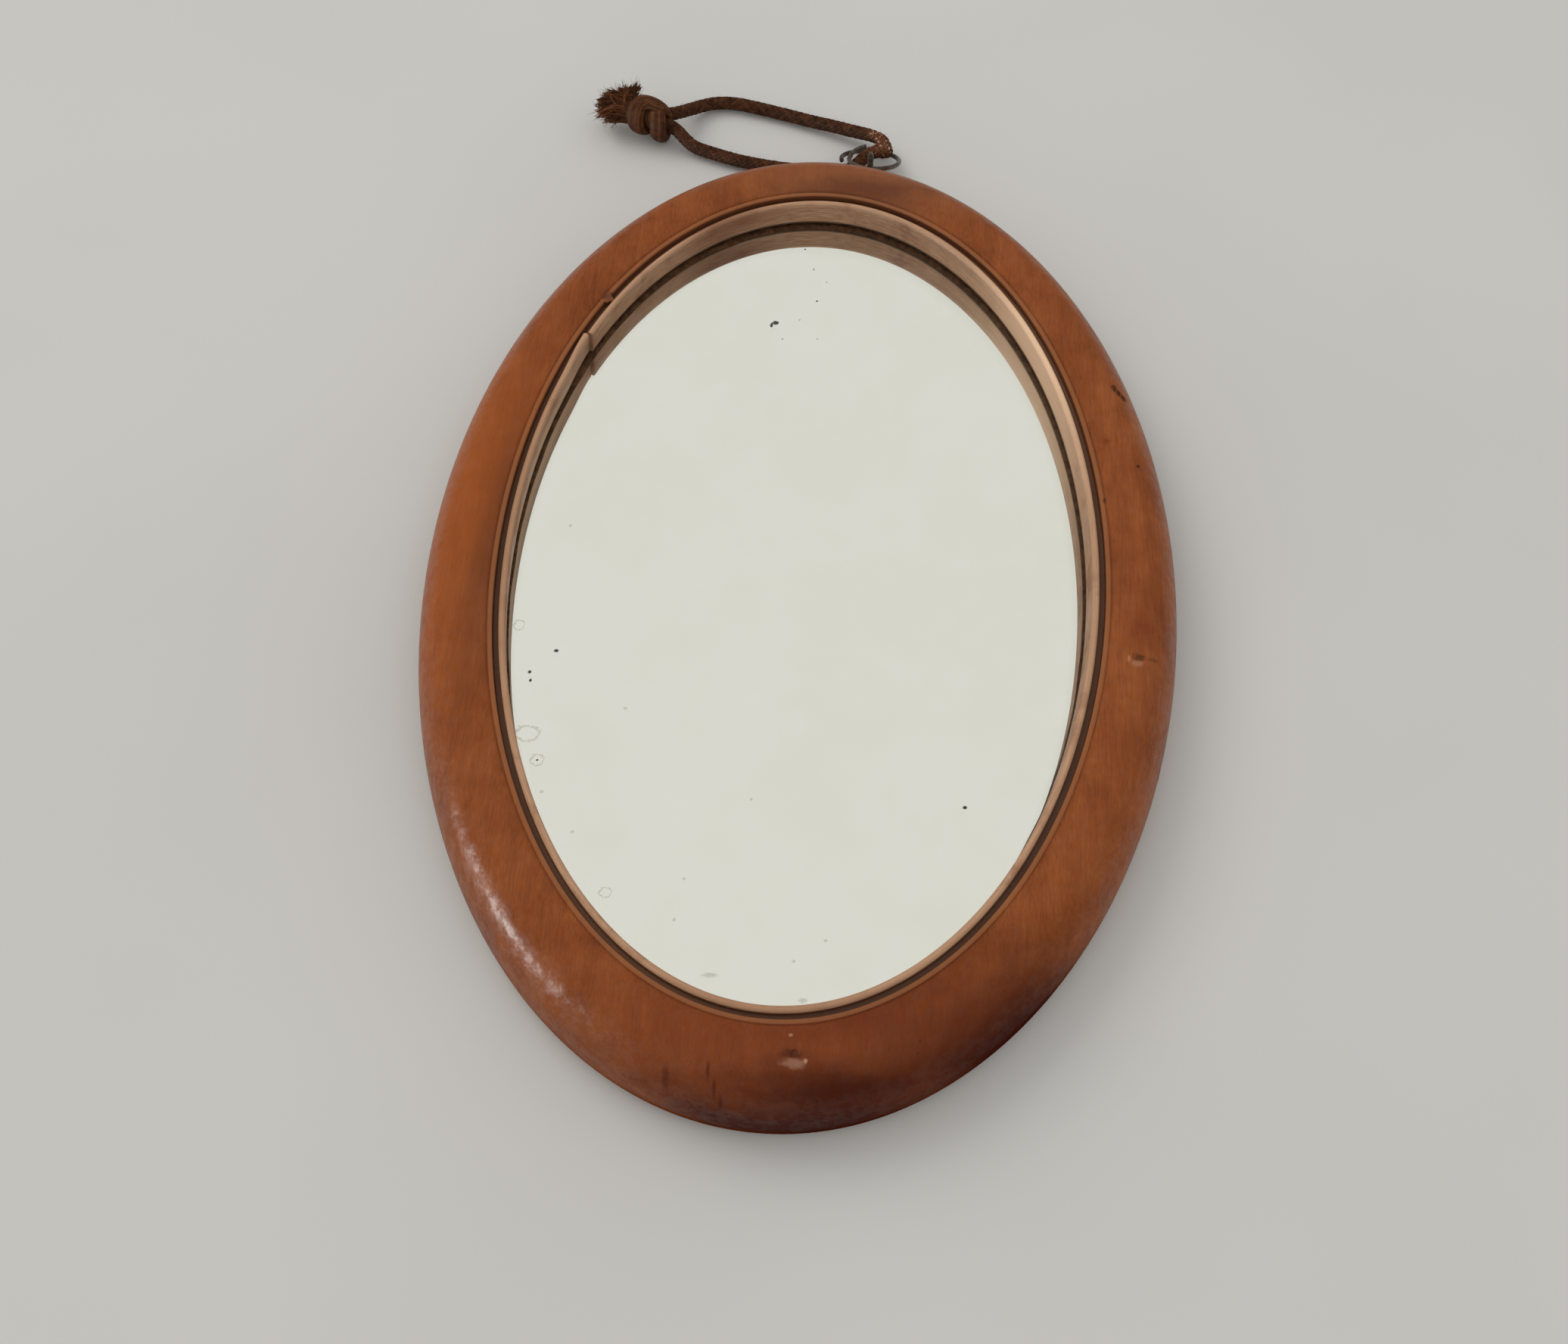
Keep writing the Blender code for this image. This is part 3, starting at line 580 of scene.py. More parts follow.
class Nodes:
    """Short ways to add nodes to one tree. Each gives the new node's outputs, or the one that is wanted."""

    def __init__(self, tree):
        self.tree = tree

    def link(self, source, socket):
        self.tree.links.new(source, socket)

    def add(self, kind, values=None, **settings):
        """A node with its settings made and its sockets filled or linked."""
        made = self.tree.nodes.new("ShaderNode" + kind)
        for name, value in settings.items():
            setattr(made, name, value)
        for key, value in (values or {}).items():
            if isinstance(value, bpy.types.NodeSocket):
                self.link(value, made.inputs[key])
            else:
                made.inputs[key].default_value = value
        return made.outputs

    def maths(self, operation, *values):
        return self.add("Math", dict(enumerate(values)), operation=operation)[0]

    def times(self, first, second):
        return self.maths("MULTIPLY", first, second)

    def less(self, first, second):
        return self.maths("SUBTRACT", first, second)

    def blend(self, *shares):
        """The sum of values, each times its weight."""
        total = 0.0
        for value, weight in shares:
            total = self.maths("MULTIPLY_ADD", value, weight, total)
        return total

    def vector(self, operation, *values):
        return self.add("VectorMath", dict(enumerate(values)), operation=operation)

    def stretch(self, where, factors):
        return self.vector("MULTIPLY", where, factors)[0]

    def remap(self, value, low, high, start=0.0, end=1.0):
        values = {"Value": value, "From Min": low, "From Max": high, "To Min": start, "To Max": end}
        return self.add("MapRange", values, interpolation_type="SMOOTHSTEP")["Result"]

    def noise(self, where, scale, detail=2.0, rough=0.5, warp=0.0):
        values = {"Vector": where, "Scale": scale, "Detail": detail, "Roughness": rough, "Distortion": warp}
        return self.add("TexNoise", values)["Fac"]

    def mix(self, share, first, second):
        return self.add("Mix", {0: share, 6: first, 7: second}, data_type="RGBA")[2]

    def ramp(self, share, *stops):
        """A colour read off stops, each a place and a colour."""
        colour = self.add("ValToRGB", {"Fac": share})["Color"]
        elements = colour.node.color_ramp.elements
        while len(elements) < len(stops):
            elements.new(0.5)
        for element, (position, stop) in zip(elements, stops):
            element.position = position
            element.color = stop
        return colour

    def bump(self, height, distance, strength):
        values = {"Height": height, "Distance": distance, "Strength": strength}
        return self.add("Bump", values)["Normal"]

    def object_mm(self):
        """Object coordinates in millimetres."""
        return self.stretch(self.add("TexCoord")["Object"], (1 / MM, 1 / MM, 1 / MM))

    def oval_mm(self):
        """Millimetres from the oval's centre and the back plane."""
        return self.vector("SUBTRACT", self.object_mm(), (0, OVAL_CENTRE_Y / MM, 0))[0]

    def height(self, vector):
        return self.add("SeparateXYZ", {0: vector})["Z"]

    def section_share(self):
        """Length along a swept or braided piece, and place round its section, from its own map."""
        parts = self.add("SeparateXYZ", {0: self.add("UVMap", uv_map="UVMap")["UV"]})
        return parts["X"], parts["Y"]

    def grain(self, where, factors):
        return self.add("Group", {"Place": where, "Stretch": factors}, node_tree=GRAIN)

    def spot(self, where, centre, size, ragged, soft):
        values = {"Place": where, "Centre": centre, "Size": size, "Ragged": ragged, "Soft": soft}
        return self.add("Group", values, node_tree=SPOT)["Mask"]

    def flecks(self, where, spacing, amount, size):
        values = {"Place": where, "Spacing": spacing, "Amount": amount, "Size": size}
        return self.add("Group", values, node_tree=FLECKS)["Mask"]


class Look(Nodes):
    """A material in the making, with the colour laid on so far."""

    def __init__(self, name, **plain):
        self.material = bpy.data.materials.new(name)
        self.material.use_nodes = True
        super().__init__(self.material.node_tree)
        self.sockets = self.tree.nodes["Principled BSDF"].inputs
        for socket, value in plain.items():
            self.sockets[socket.replace("_", " ")].default_value = value

    def lay(self, colour, mask, strength=1.0):
        """Lays a colour over what is there, through a mask."""
        self.colour = self.mix(self.times(mask, strength), self.colour, colour)

    def lay_spots(self, stains, where, ragged, soft):
        for place, size, stain, strength in stains:
            self.lay(stain, self.spot(where, place, size, ragged, soft), strength)

    def done(self, **sources):
        """Links the colour and the other sources to the shader, and gives the material."""
        for socket, source in {"Base_Color": self.colour, **sources}.items():
            self.link(source, self.sockets[socket.replace("_", " ")])
        return self.material


def new_group(name, inputs, outputs):
    """An empty group of nodes, with what it is given and the sockets for its results."""
    tree = bpy.data.node_groups.new(name, "ShaderNodeTree")
    for label, value in inputs.items():
        kind = "NodeSocketVector" if isinstance(value, tuple) else "NodeSocketFloat"
        tree.interface.new_socket(label, in_out="INPUT", socket_type=kind).default_value = value
    for label in outputs:
        tree.interface.new_socket(label, in_out="OUTPUT", socket_type="NodeSocketFloat")
    return Nodes(tree), tree.nodes.new("NodeGroupInput").outputs, tree.nodes.new("NodeGroupOutput").inputs


# Effects that several materials share

def grain_group():
    """Broad figure, fine fibres and short dark pores, drawn out along the grain by the Stretch values."""
    inputs = {"Place": (0, 0, 0), "Stretch": (2.0, 0.1, 2.0)}
    nodes, given, result = new_group("wood_grain", inputs, ("Figure", "Fibre", "Pores"))
    drawn = nodes.stretch(given["Place"], given["Stretch"])
    broad = nodes.stretch(drawn, (0.12, 0.25, 0.12))
    pores = nodes.noise(nodes.stretch(drawn, (1.6, 2.2, 1.6)), 1.0, 1.0)
    nodes.link(nodes.noise(broad, 1.0, 3.0, 0.55, 0.6), result["Figure"])
    nodes.link(nodes.noise(drawn, 1.0, 4.0, 0.65), result["Fibre"])
    nodes.link(nodes.remap(pores, 0.66, 0.74), result["Pores"])
    return nodes.tree


def spot_group():
    """A soft patch with a ragged rim."""
    inputs = {"Place": (0, 0, 0), "Centre": (0, 0, 0), "Size": (1, 1, 1), "Ragged": 0.4, "Soft": 0.6}
    nodes, given, result = new_group("soft_spot", inputs, ("Mask",))
    apart = nodes.vector("SUBTRACT", given["Place"], given["Centre"])[0]
    scaled = nodes.vector("DIVIDE", apart, given["Size"])[0]
    reach = nodes.vector("LENGTH", scaled)["Value"]
    wobble = nodes.less(nodes.noise(scaled, 1.6, 3.0, 0.6), 0.5)
    edge = nodes.maths("MULTIPLY_ADD", wobble, given["Ragged"], reach)
    nodes.link(nodes.remap(edge, nodes.less(1.0, given["Soft"]), 1.0, 1.0, 0.0), result["Mask"])
    return nodes.tree


def fleck_group():
    """Scattered small flecks: Spacing is how far apart their cells are, Amount the share that holds one."""
    inputs = {"Place": (0, 0, 0), "Spacing": 2.0, "Amount": 0.3, "Size": 0.25}
    nodes, given, result = new_group("flecks", inputs, ("Mask",))
    density = nodes.maths("DIVIDE", 1.0, given["Spacing"])
    cells = nodes.add("TexVoronoi", {"Vector": given["Place"], "Scale": density})
    luck = nodes.add("SeparateColor", {0: cells["Color"]})[0]
    kept = nodes.maths("LESS_THAN", luck, given["Amount"])
    nodes.link(nodes.times(kept, nodes.remap(cells["Distance"], given["Size"], 0.0)), result["Mask"])
    return nodes.tree


GRAIN = grain_group()
SPOT = spot_group()
FLECKS = fleck_group()


# Cords: braided yarn built from its centre lines

class Yarn:
    """Gathers tubes into one mesh, each point with its length along the cord and its own shade."""

    def __init__(self):
        self.points = []
        self.faces = []
        self.map = []

    def tube(self, line, across, outward, half_width, half_height, sides, along, shade):
        """A tube about a line, oval in section; widths may change along it."""
        count = len(line)
        first = len(self.points)
        widths = np.broadcast_to(half_width, (count,))
        heights = np.broadcast_to(half_height, (count,))
        shares = np.broadcast_to(along, (count,))
        turns = [2 * pi * side / sides for side in range(sides)]
        for k in range(count):
            for turn in turns:
                point = line[k] + across[k] * (widths[k] * cos(turn)) + outward[k] * (heights[k] * sin(turn))
                point[2] = max(point[2], LOWEST_FIBRE)
                self.points.append(point)
                self.map.append((shares[k], shade))
        for row in range(first, first + (count - 1) * sides, sides):
            for side in range(sides):
                after = (side + 1) % sides
                self.faces.append((row + side, row + after, row + sides + after, row + sides + side))
        last = first + (count - 1) * sides
        self.faces.append(tuple(range(first + sides - 1, first - 1, -1)))
        self.faces.append(tuple(range(last, last + sides)))

    def piece(self, name):
        mesh = bpy.data.meshes.new(name)
        mesh.from_pydata([tuple(point) for point in self.points], [], self.faces)
        shades = np.array(self.map, dtype=np.float32)
        corners = np.empty(len(mesh.loops), dtype=np.int32)
        mesh.loops.foreach_get("vertex_index", corners)
        mesh.uv_layers.new(name="UVMap").data.foreach_set("uv", shades[corners].ravel())
        mesh.update()
        made = new_object(name, mesh)
        tidy_mesh(made, YARN_SHARP)
        return made


def smooth_line(route, step):
    """Evenly spaced points on a smooth curve through the route."""
    knots = [np.array(point, float) for point in route]
    ends = [2 * knots[0] - knots[1]] + knots + [2 * knots[-1] - knots[-2]]
    fine = []
    for span in range(len(knots) - 1):
        a, b, c, d = ends[span : span + 4]
        for k in range(SPAN_STEPS):
            t = k / SPAN_STEPS
            bend = t**2 * (2 * a - 5 * b + 4 * c - d) + t**3 * (3 * b - a - 3 * c + d)
            fine.append(b + (t * (c - a) + bend) / 2)
    fine.append(knots[-1])
    fine = np.array(fine)
    reach = np.concatenate([[0], np.cumsum(np.linalg.norm(np.diff(fine, axis=0), axis=1))])
    count = max(2, int(round(reach[-1] / step)) + 1)
    places = np.linspace(0, reach[-1], count)
    return np.stack([np.interp(places, reach, fine[:, axis]) for axis in range(3)], axis=1)


def across_line(tangent, outward):
    """The outward directions turned square to a line."""
    return unit(outward - tangent * np.sum(outward * tangent, axis=1, keepdims=True))


def line_frames(line, outward=None):
    """Tangent, outward and across directions along a line, turning no more than the line does."""
    tangent = unit(np.gradient(line, axis=0))
    if outward is None:
        start = np.cross(tangent[0], (0.3, 0.5, 1.0))
        rows = [unit(np.cross(start, tangent[0]))]
        for k in range(1, len(line)):
            rows.append(unit(rows[-1] - tangent[k] * np.dot(rows[-1], tangent[k])))
        outward = np.array(rows)
    else:
        outward = across_line(tangent, outward)
    return tangent, outward, np.cross(outward, tangent)


def lay_yarn(yarn, centre, facing, half_width, half_height, along, shade):
    """One yarn along a line, its flat side turned the way that facing points."""
    _, outer, across = line_frames(centre, facing)
    yarn.tube(centre, across, outer, half_width, half_height, YARN_SIDES, along, shade)


def braid(yarn, line, rng, widen, along):
    """A round braid about a line: two sets of carriers that cross over and under each other.
    widen spreads it sideways and flattens it, point by point."""
    _, up, across = line_frames(line)
    across = across * widen[:, None]
    up = up / np.sqrt(widen)[:, None]
    yarn.tube(line, across, up, CORE_RADIUS, CORE_RADIUS, CORE_SIDES, along, 0.0)
    radius = CORD_DIAMETER / 2 - YARN_HALF_HEIGHT - YARN_WAVE
    wave = np.cos(CARRIERS * BRAID_TWIST * along)
    for hand in (1, -1):
        for carrier in range(CARRIERS):
            turn = 2 * pi * carrier / CARRIERS + hand * BRAID_TWIST * along
            reach = radius * rng.uniform(0.97, 1.03) + hand * YARN_WAVE * wave
            facing = across * np.cos(turn)[:, None] + up * np.sin(turn)[:, None]
            width = YARN_HALF_WIDTH * rng.uniform(0.92, 1.06)
            shade = rng.uniform(0.15, 0.75)
            lay_yarn(yarn, line + facing * reach[:, None], facing, width, YARN_HALF_HEIGHT, along, shade)


def hair(yarn, start, direction, length, radius, rng, along, shade, curl=0.35):
    """One fine fibre that leaves a point and curls away."""
    direction = unit(np.array(direction, float))
    sideways = unit(np.cross(direction, (rng.uniform(-1, 1), rng.uniform(-1, 1), rng.uniform(-1, 1))))
    shares = np.linspace(0, 1, HAIR_POINTS)[:, None]
    line = start + direction * length * shares + sideways * (curl * length) * shares**2
    line[:, 2] = np.maximum(line[:, 2], LOWEST_FIBRE)
    _, up, across = line_frames(line)
    taper = radius * np.linspace(1, 0.4, HAIR_POINTS)
    yarn.tube(line, across, up, taper, taper, HAIR_SIDES, along, shade)


def fuzz(yarn, line, rng, along):
    """Short loose fibres standing off a cord."""
    tangent, up, across = line_frames(line)
    for _ in range(FUZZ_COUNT):
        k = rng.randrange(2, len(line) - 2)
        turn = rng.uniform(0, 2 * pi)
        facing = across[k] * cos(turn) + up[k] * sin(turn)
        start = line[k] + facing * FUZZ_REACH
        if start[2] < FUZZ_LOWEST:
            continue
        lean = facing + tangent[k] * rng.uniform(-1.6, 1.6)
        length = rng.uniform(0.5, 1.3) * MM
        hair(yarn, start, lean, length, FUZZ_RADIUS, rng, along[k], rng.uniform(0.7, 1))


def from_ring():
    """The place on the back plane under the ring's centre, from which the cord's places are counted."""
    return np.array((RING_CENTRE.x, RING_CENTRE.y, 0))


def knot_axes():
    """The knot's centre, its axis away from the loop, its upward and its sideways direction."""
    away = unit(np.array(KNOT_AWAY))
    side = unit(np.cross((0, 0, 1), away))
    return KNOT_CENTRE + from_ring(), away, np.cross(away, side), side


def in_knot(sideways, upwards):
    """Where a run of cord ends inside the knot."""
    centre, away, up, side = knot_axes()
    return centre - away * KNOT_ENTRY + side * sideways * MM + up * upwards * MM


def cord_run(name, route, seed, into_knot):
    """One strand of the loop, from the ring to inside the knot, spread where it bends over the ring."""
    rng = random.Random(seed)
    line = smooth_line([from_ring() + MM * np.array(point) for point in route], CORD_STEP)
    drawn = smooth_line(list(line[::REDRAW_STEPS]) + [line[-1], into_knot], CORD_STEP)
    along = np.arange(len(drawn)) * CORD_STEP
    yarn = Yarn()
    braid(yarn, drawn, rng, 1 + BEND_SPREAD * np.exp(-((along / BEND_REACH) ** 2)), along)
    fuzz(yarn, line, rng, along)
    return yarn.piece(name), drawn


def flat_strand(yarn, line, facing, size, rng):
    """A strand pressed flat: fine yarns laid along an oval core; size narrows it point by point."""
    _, up, across = line_frames(line, facing)
    width = KNOT_STRAND_HALF_WIDTH * size
    height = KNOT_STRAND_HALF_HEIGHT * size
    yarn.tube(line, across, up, width * 0.92, height * 0.88, STRAND_CORE_SIDES, UNWORN, 0.3)
    for k in range(KNOT_YARNS):
        turn = 2 * pi * k / KNOT_YARNS + rng.uniform(-0.05, 0.05) + np.linspace(0, 0.6, len(line))
        lie = across * (width * 0.90 * np.cos(turn))[:, None] + up * (height * 0.86 * np.sin(turn))[:, None]
        outer = across * (np.cos(turn) / width)[:, None] + up * (np.sin(turn) / height)[:, None]
        half_width = rng.uniform(0.3, 0.42) * MM * size
        half_height = rng.uniform(0.16, 0.26) * MM * size
        lay_yarn(yarn, line + lie, outer, half_width, half_height, UNWORN, rng.uniform(0.35, 1.0))


def knot_strand(yarn, route, rng):
    """One strand wound round the knot's axis and tucked in at both ends."""
    centre, away, up, side = knot_axes()
    places = []
    for turn, along, reach in route:
        facing = up * cos(radians(turn)) + side * sin(radians(turn))
        places.append(centre + away * along * MM + facing * reach * MM)
    line = smooth_line(places, CORD_STEP)
    line[:, 2] = np.maximum(line[:, 2], KNOT_STRAND_HALF_HEIGHT + LOWEST_FIBRE)
    from_axis = line - centre
    facing = unit(from_axis - away * (from_axis @ away)[:, None])
    share = np.linspace(0, 1, len(line))
    tuck = np.minimum(1, np.minimum(share, 1 - share) / KNOT_TUCK_SHARE)
    flat_strand(yarn, line, facing, 0.5 + 0.5 * ease(tuck), rng)


def knot_piece(seed):
    """Both strands of the loop's ends wound side by side round a core."""
    rng = random.Random(seed)
    centre, away, _, _ = knot_axes()
    yarn = Yarn()
    middle = centre + away * (KNOT_LENGTH * np.linspace(-0.4, 0.4, KNOT_CORE_POINTS))[:, None]
    _, up, across = line_frames(middle)
    yarn.tube(middle, across, up, KNOT_CORE_RADIUS, KNOT_CORE_RADIUS, KNOT_CORE_SIDES, UNWORN, 0.6)
    knot_strand(yarn, OUTER_STRAND, rng)
    knot_strand(yarn, INNER_STRAND, rng)
    return yarn.piece("knot")


def tuft_fibre(yarn, start, elbow, tip, radius, shade):
    """One frayed yarn on a smooth bend from the knot to its cut end."""
    shares = np.linspace(0, 1, len(FIBRE_TAPER))[:, None]
    line = start * (1 - shares) ** 2 + elbow * 2 * shares * (1 - shares) + tip * shares**2
    line[:, 2] = np.maximum(line[:, 2], LOWEST_FIBRE + radius)
    _, outer, across = line_frames(line)
    taper = radius * FIBRE_TAPER
    yarn.tube(line, across, outer, taper, taper, FIBRE_SIDES, UNWORN, shade)


def scatter(rng, reach):
    return np.array([rng.gauss(0, reach) for _ in range(3)])


def tuft_piece(seed):
    """Frayed ends that leave the knot and fan out in pointed clumps, longest straight away from it."""
    rng = random.Random(seed)
    centre, away, up, side = knot_axes()
    root = centre + away * (KNOT_LENGTH / 2 + TUFT_ROOT_GAP)
    upward = unit(np.array(TUFT_UPWARD))
    forward = unit(np.cross(away, upward))
    yarn = Yarn()
    for clump in range(TUFT_CLUMPS):
        fan_share = (clump + rng.random()) / TUFT_CLUMPS
        degrees = TUFT_LEANS[0] + (TUFT_LEANS[-1] - TUFT_LEANS[0]) * fan_share
        lean = radians(degrees)
        heading = unit(away * cos(lean) + upward * sin(lean) + forward * rng.uniform(-0.75, 0.75))
        reach = float(np.interp(degrees, TUFT_LEANS, TUFT_REACHES)) * rng.uniform(0.86, 1.0) * MM
        clump_shade = rng.uniform(0.6, 1.5)
        for _ in range(TUFT_CLUMP_FIBRES):
            turn = rng.uniform(0, 2 * pi)
            spread = (up * cos(turn) + side * sin(turn)) * sqrt(rng.random())
            start = root - away * TUFT_ROOT_DEPTH + spread * TUFT_ROOT_RADIUS
            elbow = root + away * reach * TUFT_ELBOW_SHARE + spread * TUFT_ROOT_RADIUS * TUFT_ELBOW_SPREAD
            length = rng.uniform(0.55, 1.0)
            tip = root + heading * reach * length + scatter(rng, TUFT_SCATTER * (1.12 - length))
            radius = rng.uniform(0.12, 0.2) * MM
            tuft_fibre(yarn, start, elbow, tip, radius, clump_shade + rng.uniform(-0.2, 0.3))
        for _ in range(TUFT_CLUMP_HAIRS):
            astray = scatter(rng, TUFT_HAIR_SCATTER)
            start = root + heading * reach * rng.uniform(0.55, 0.9) + astray
            length = rng.uniform(0.8, 2.0) * MM
            hair(yarn, start, heading, length, TUFT_HAIR_RADIUS, rng, UNWORN, rng.uniform(0.3, 1))
    return yarn.piece("tuft")


def waxed_cord():
    """Dark waxed yarn with painted glints on its fibres; on top of the bend at the ring it is lighter from
    wear and painted light, with pale streaks there of wear and painted sheen.
    """
    look = Look("waxed_cord", Specular_IOR_Level=0.1)
    along, shade = look.section_share()
    where = look.object_mm()
    strand = look.blend((shade, 0.35), (look.noise(where, 0.55, 3.0, 0.6), 0.65))
    look.colour = look.ramp(strand, (0.28, CORD_DARK), (0.55, CORD_BROWN), (0.85, CORD_LIGHT))
    fibres = look.noise(where, 6.0, 2.0, 0.7)
    # Painted glints on the fibres
    look.lay(CORD_GLINT, look.remap(fibres, 0.62, 0.78, 0.0, 0.5))
    # Near the ring the sides of the bend that face up are lighter: wear, and painted light; the pale streaks
    # there are partly wear and partly painted sheen
    upwards = look.remap(look.height(look.add("TexCoord")["Normal"]), 0.1, 0.7)
    rubbed_lit_top = look.times(upwards, look.remap(along, 9.0 * MM, 4.0 * MM))
    look.lay(CORD_LIGHT, rubbed_lit_top, 0.5)
    worn_sheen = look.times(look.remap(look.noise(where, 1.0, 2.0, 0.6, 1.2), 0.56, 0.66), rubbed_lit_top)
    look.lay(CORD_WORN_SHEEN, worn_sheen, 0.8)
    rough = look.less(look.remap(fibres, 0.3, 0.7, 0.48, 0.7), look.times(worn_sheen, 0.2))
    return look.done(Roughness=rough, Normal=look.bump(fibres, 0.08 * MM, 0.5))


def hanging_cord():
    """Both strands of the loop, the knot and the tuft, put on the cord's body in place of their imported
    nodes.
    """
    upper, upper_line = cord_run("cord_upper_run", UPPER_RUN, UPPER_SEED, in_knot(*UPPER_ENTRY))
    lower, lower_line = cord_run("cord_lower_run", LOWER_RUN, LOWER_SEED, in_knot(*LOWER_ENTRY))
    knot = knot_piece(KNOT_SEED)
    tuft = tuft_piece(TUFT_SEED)
    material = waxed_cord()
    nodes = {upper: "hanging_cord", lower: "hanging_cord", knot: "cord_knot", tuft: "cord_frayed_end"}
    for piece, node in nodes.items():
        finish_piece(piece, material, "cord", "waxed_cord", node)


# Wire pieces

def poly_curve(name, points):
    """A curve of straight spans through points of three values."""
    curve = bpy.data.curves.new(name, "CURVE")
    curve.dimensions = "3D"
    spline = curve.splines.new("POLY")
    spline.points.add(len(points) - 1)
    for point, place in zip(spline.points, points):
        point.co = (*place, 1)
    return curve, spline


def as_mesh(piece):
    activate(piece)
    bpy.ops.object.convert(target="MESH")
    return bpy.context.object


def wire(name, points, diameter):
    """Round wire with flat cut ends, bent along the points."""
    curve, _ = poly_curve(name, points)
    curve.bevel_depth = diameter / 2
    curve.bevel_resolution = WIRE_ROUNDNESS
    curve.use_fill_caps = True
    piece = as_mesh(new_object(name, curve))
    tidy_mesh(piece, WIRE_SHARP)
    return piece


def eye_points():
    """Shank, a rounded neck and most of a circle, in the plane across the ring's wire."""
    half = EYE_OUTSIDE / 2
    centre = Vector(((EYE_LOW[0] + EYE_HIGH[0]) / 2, EYE_HIGH[1] - half, EYE_HIGH[2] - half))
    radius = half - EYE_WIRE / 2
    neck_back = sqrt(radius**2 + 2 * radius * EYE_NECK_ROUND)
    neck_turn = asin(EYE_NECK_ROUND / (radius + EYE_NECK_ROUND))
    points = [Vector((centre.x, centre.y - half - EYE_STANDOFF - EYE_IN_WOOD, centre.z))]
    for k in range(NECK_STEPS + 1):
        bend = (pi / 2 - neck_turn) * k / NECK_STEPS
        neck = Vector((0, EYE_NECK_ROUND * sin(bend) - neck_back, EYE_NECK_ROUND * (1 - cos(bend))))
        points.append(centre + neck)
    first = pi - neck_turn
    for k in range(1, EYE_STEPS + 1):
        turn = first + (EYE_END_TURN - first) * k / EYE_STEPS
        points.append(centre + radius * Vector((0, cos(turn), sin(turn))))
    return points


def ring_points():
    """A little over one turn of wire, its inner end spiralling up inside the outer one."""
    radius = (RING_OUTSIDE - RING_WIRE) / 2
    points = []
    for k in range(RING_STEPS + 1):
        turn = RING_START_TURN + (RING_END_TURN - RING_START_TURN) * k / RING_STEPS
        past = max(0, RING_NEAR_TURN - turn)
        reach = radius - RING_SPIRAL_IN * min(1, past / RING_SPIRAL_TURN)
        climb = RING_SPIRAL_UP * (past / (RING_NEAR_TURN - RING_END_TURN)) ** 2
        level = reach * (cos(turn) * Vector((1, 0, 0)) + sin(turn) * RING_OUTWARD)
        points.append(RING_CENTRE + level + climb * RING_UPWARD)
    return points


def dark_wire(name, dark, light):
    """Dulled steel wire, smooth, browned in places and a little lighter in others."""
    look = Look(name, Metallic=0.5)
    where = look.object_mm()
    patches = look.noise(where, 0.35, 3.0, 0.55)
    drawn = look.noise(where, 2.0, 2.0, 0.5)
    look.colour = look.mix(look.remap(drawn, 0.35, 0.65), dark, light)
    look.lay(RUST, look.remap(patches, 0.48, 0.62, 0.0, 0.7))
    rough = look.remap(patches, 0.35, 0.65, 0.3, 0.42)
    return look.done(Roughness=rough, Normal=look.bump(drawn, 0.03 * MM, 0.3))


def hanger():
    eye = wire("eye_of_wire", eye_points(), EYE_WIRE)
    ring = wire("ring_of_wire", ring_points(), RING_WIRE)
    # The eye is browned: rust, and painted shade where it lies in the cord's shadow
    finish_piece(eye, dark_wire("browned_and_shaded_wire", STEEL_BROWN_AND_SHADE, STEEL_DARK), "mirror", "wire_steel", "screw_eye")
    finish_piece(ring, dark_wire("dark_wire", STEEL_DARK, STEEL_LIGHT), "ring", "wire_steel", "wire_ring")


# Mouldings swept round the oval

def swept(name, section, start_turn=0.0):
    """A closed section of (inset, height) points swept round the oval from one turn."""
    profile, spline = poly_curve(name + "_section", [(inset, height, 0) for inset, height in section])
    profile.dimensions = "2D"
    spline.use_cyclic_u = True
    guide = new_object(name + "_section", profile)
    deselect()
    bpy.ops.curve.primitive_bezier_circle_add(radius=1, rotation=(0, 0, start_turn + pi / 2))
    piece = bpy.context.object
    piece.name = name
    apply_transforms()
    piece.scale = (HALF_WIDTH, HALF_LENGTH, 1)
    apply_transforms()
    for point in piece.data.splines[0].bezier_points:
        point.radius = 1
    piece.data.dimensions = "3D"
    piece.data.twist_mode = "Z_UP"
    piece.data.resolution_u = OVAL_STEPS
    piece.data.bevel_mode = "OBJECT"
    piece.data.bevel_object = guide
    piece = as_mesh(piece)
    bpy.data.objects.remove(guide)
    shift_to_oval(piece)
    tidy_mesh(piece, MOULDING_SHARP)
    return piece


def shares_round(starts, points):
    return {name: index / len(points) for name, index in starts.items()}


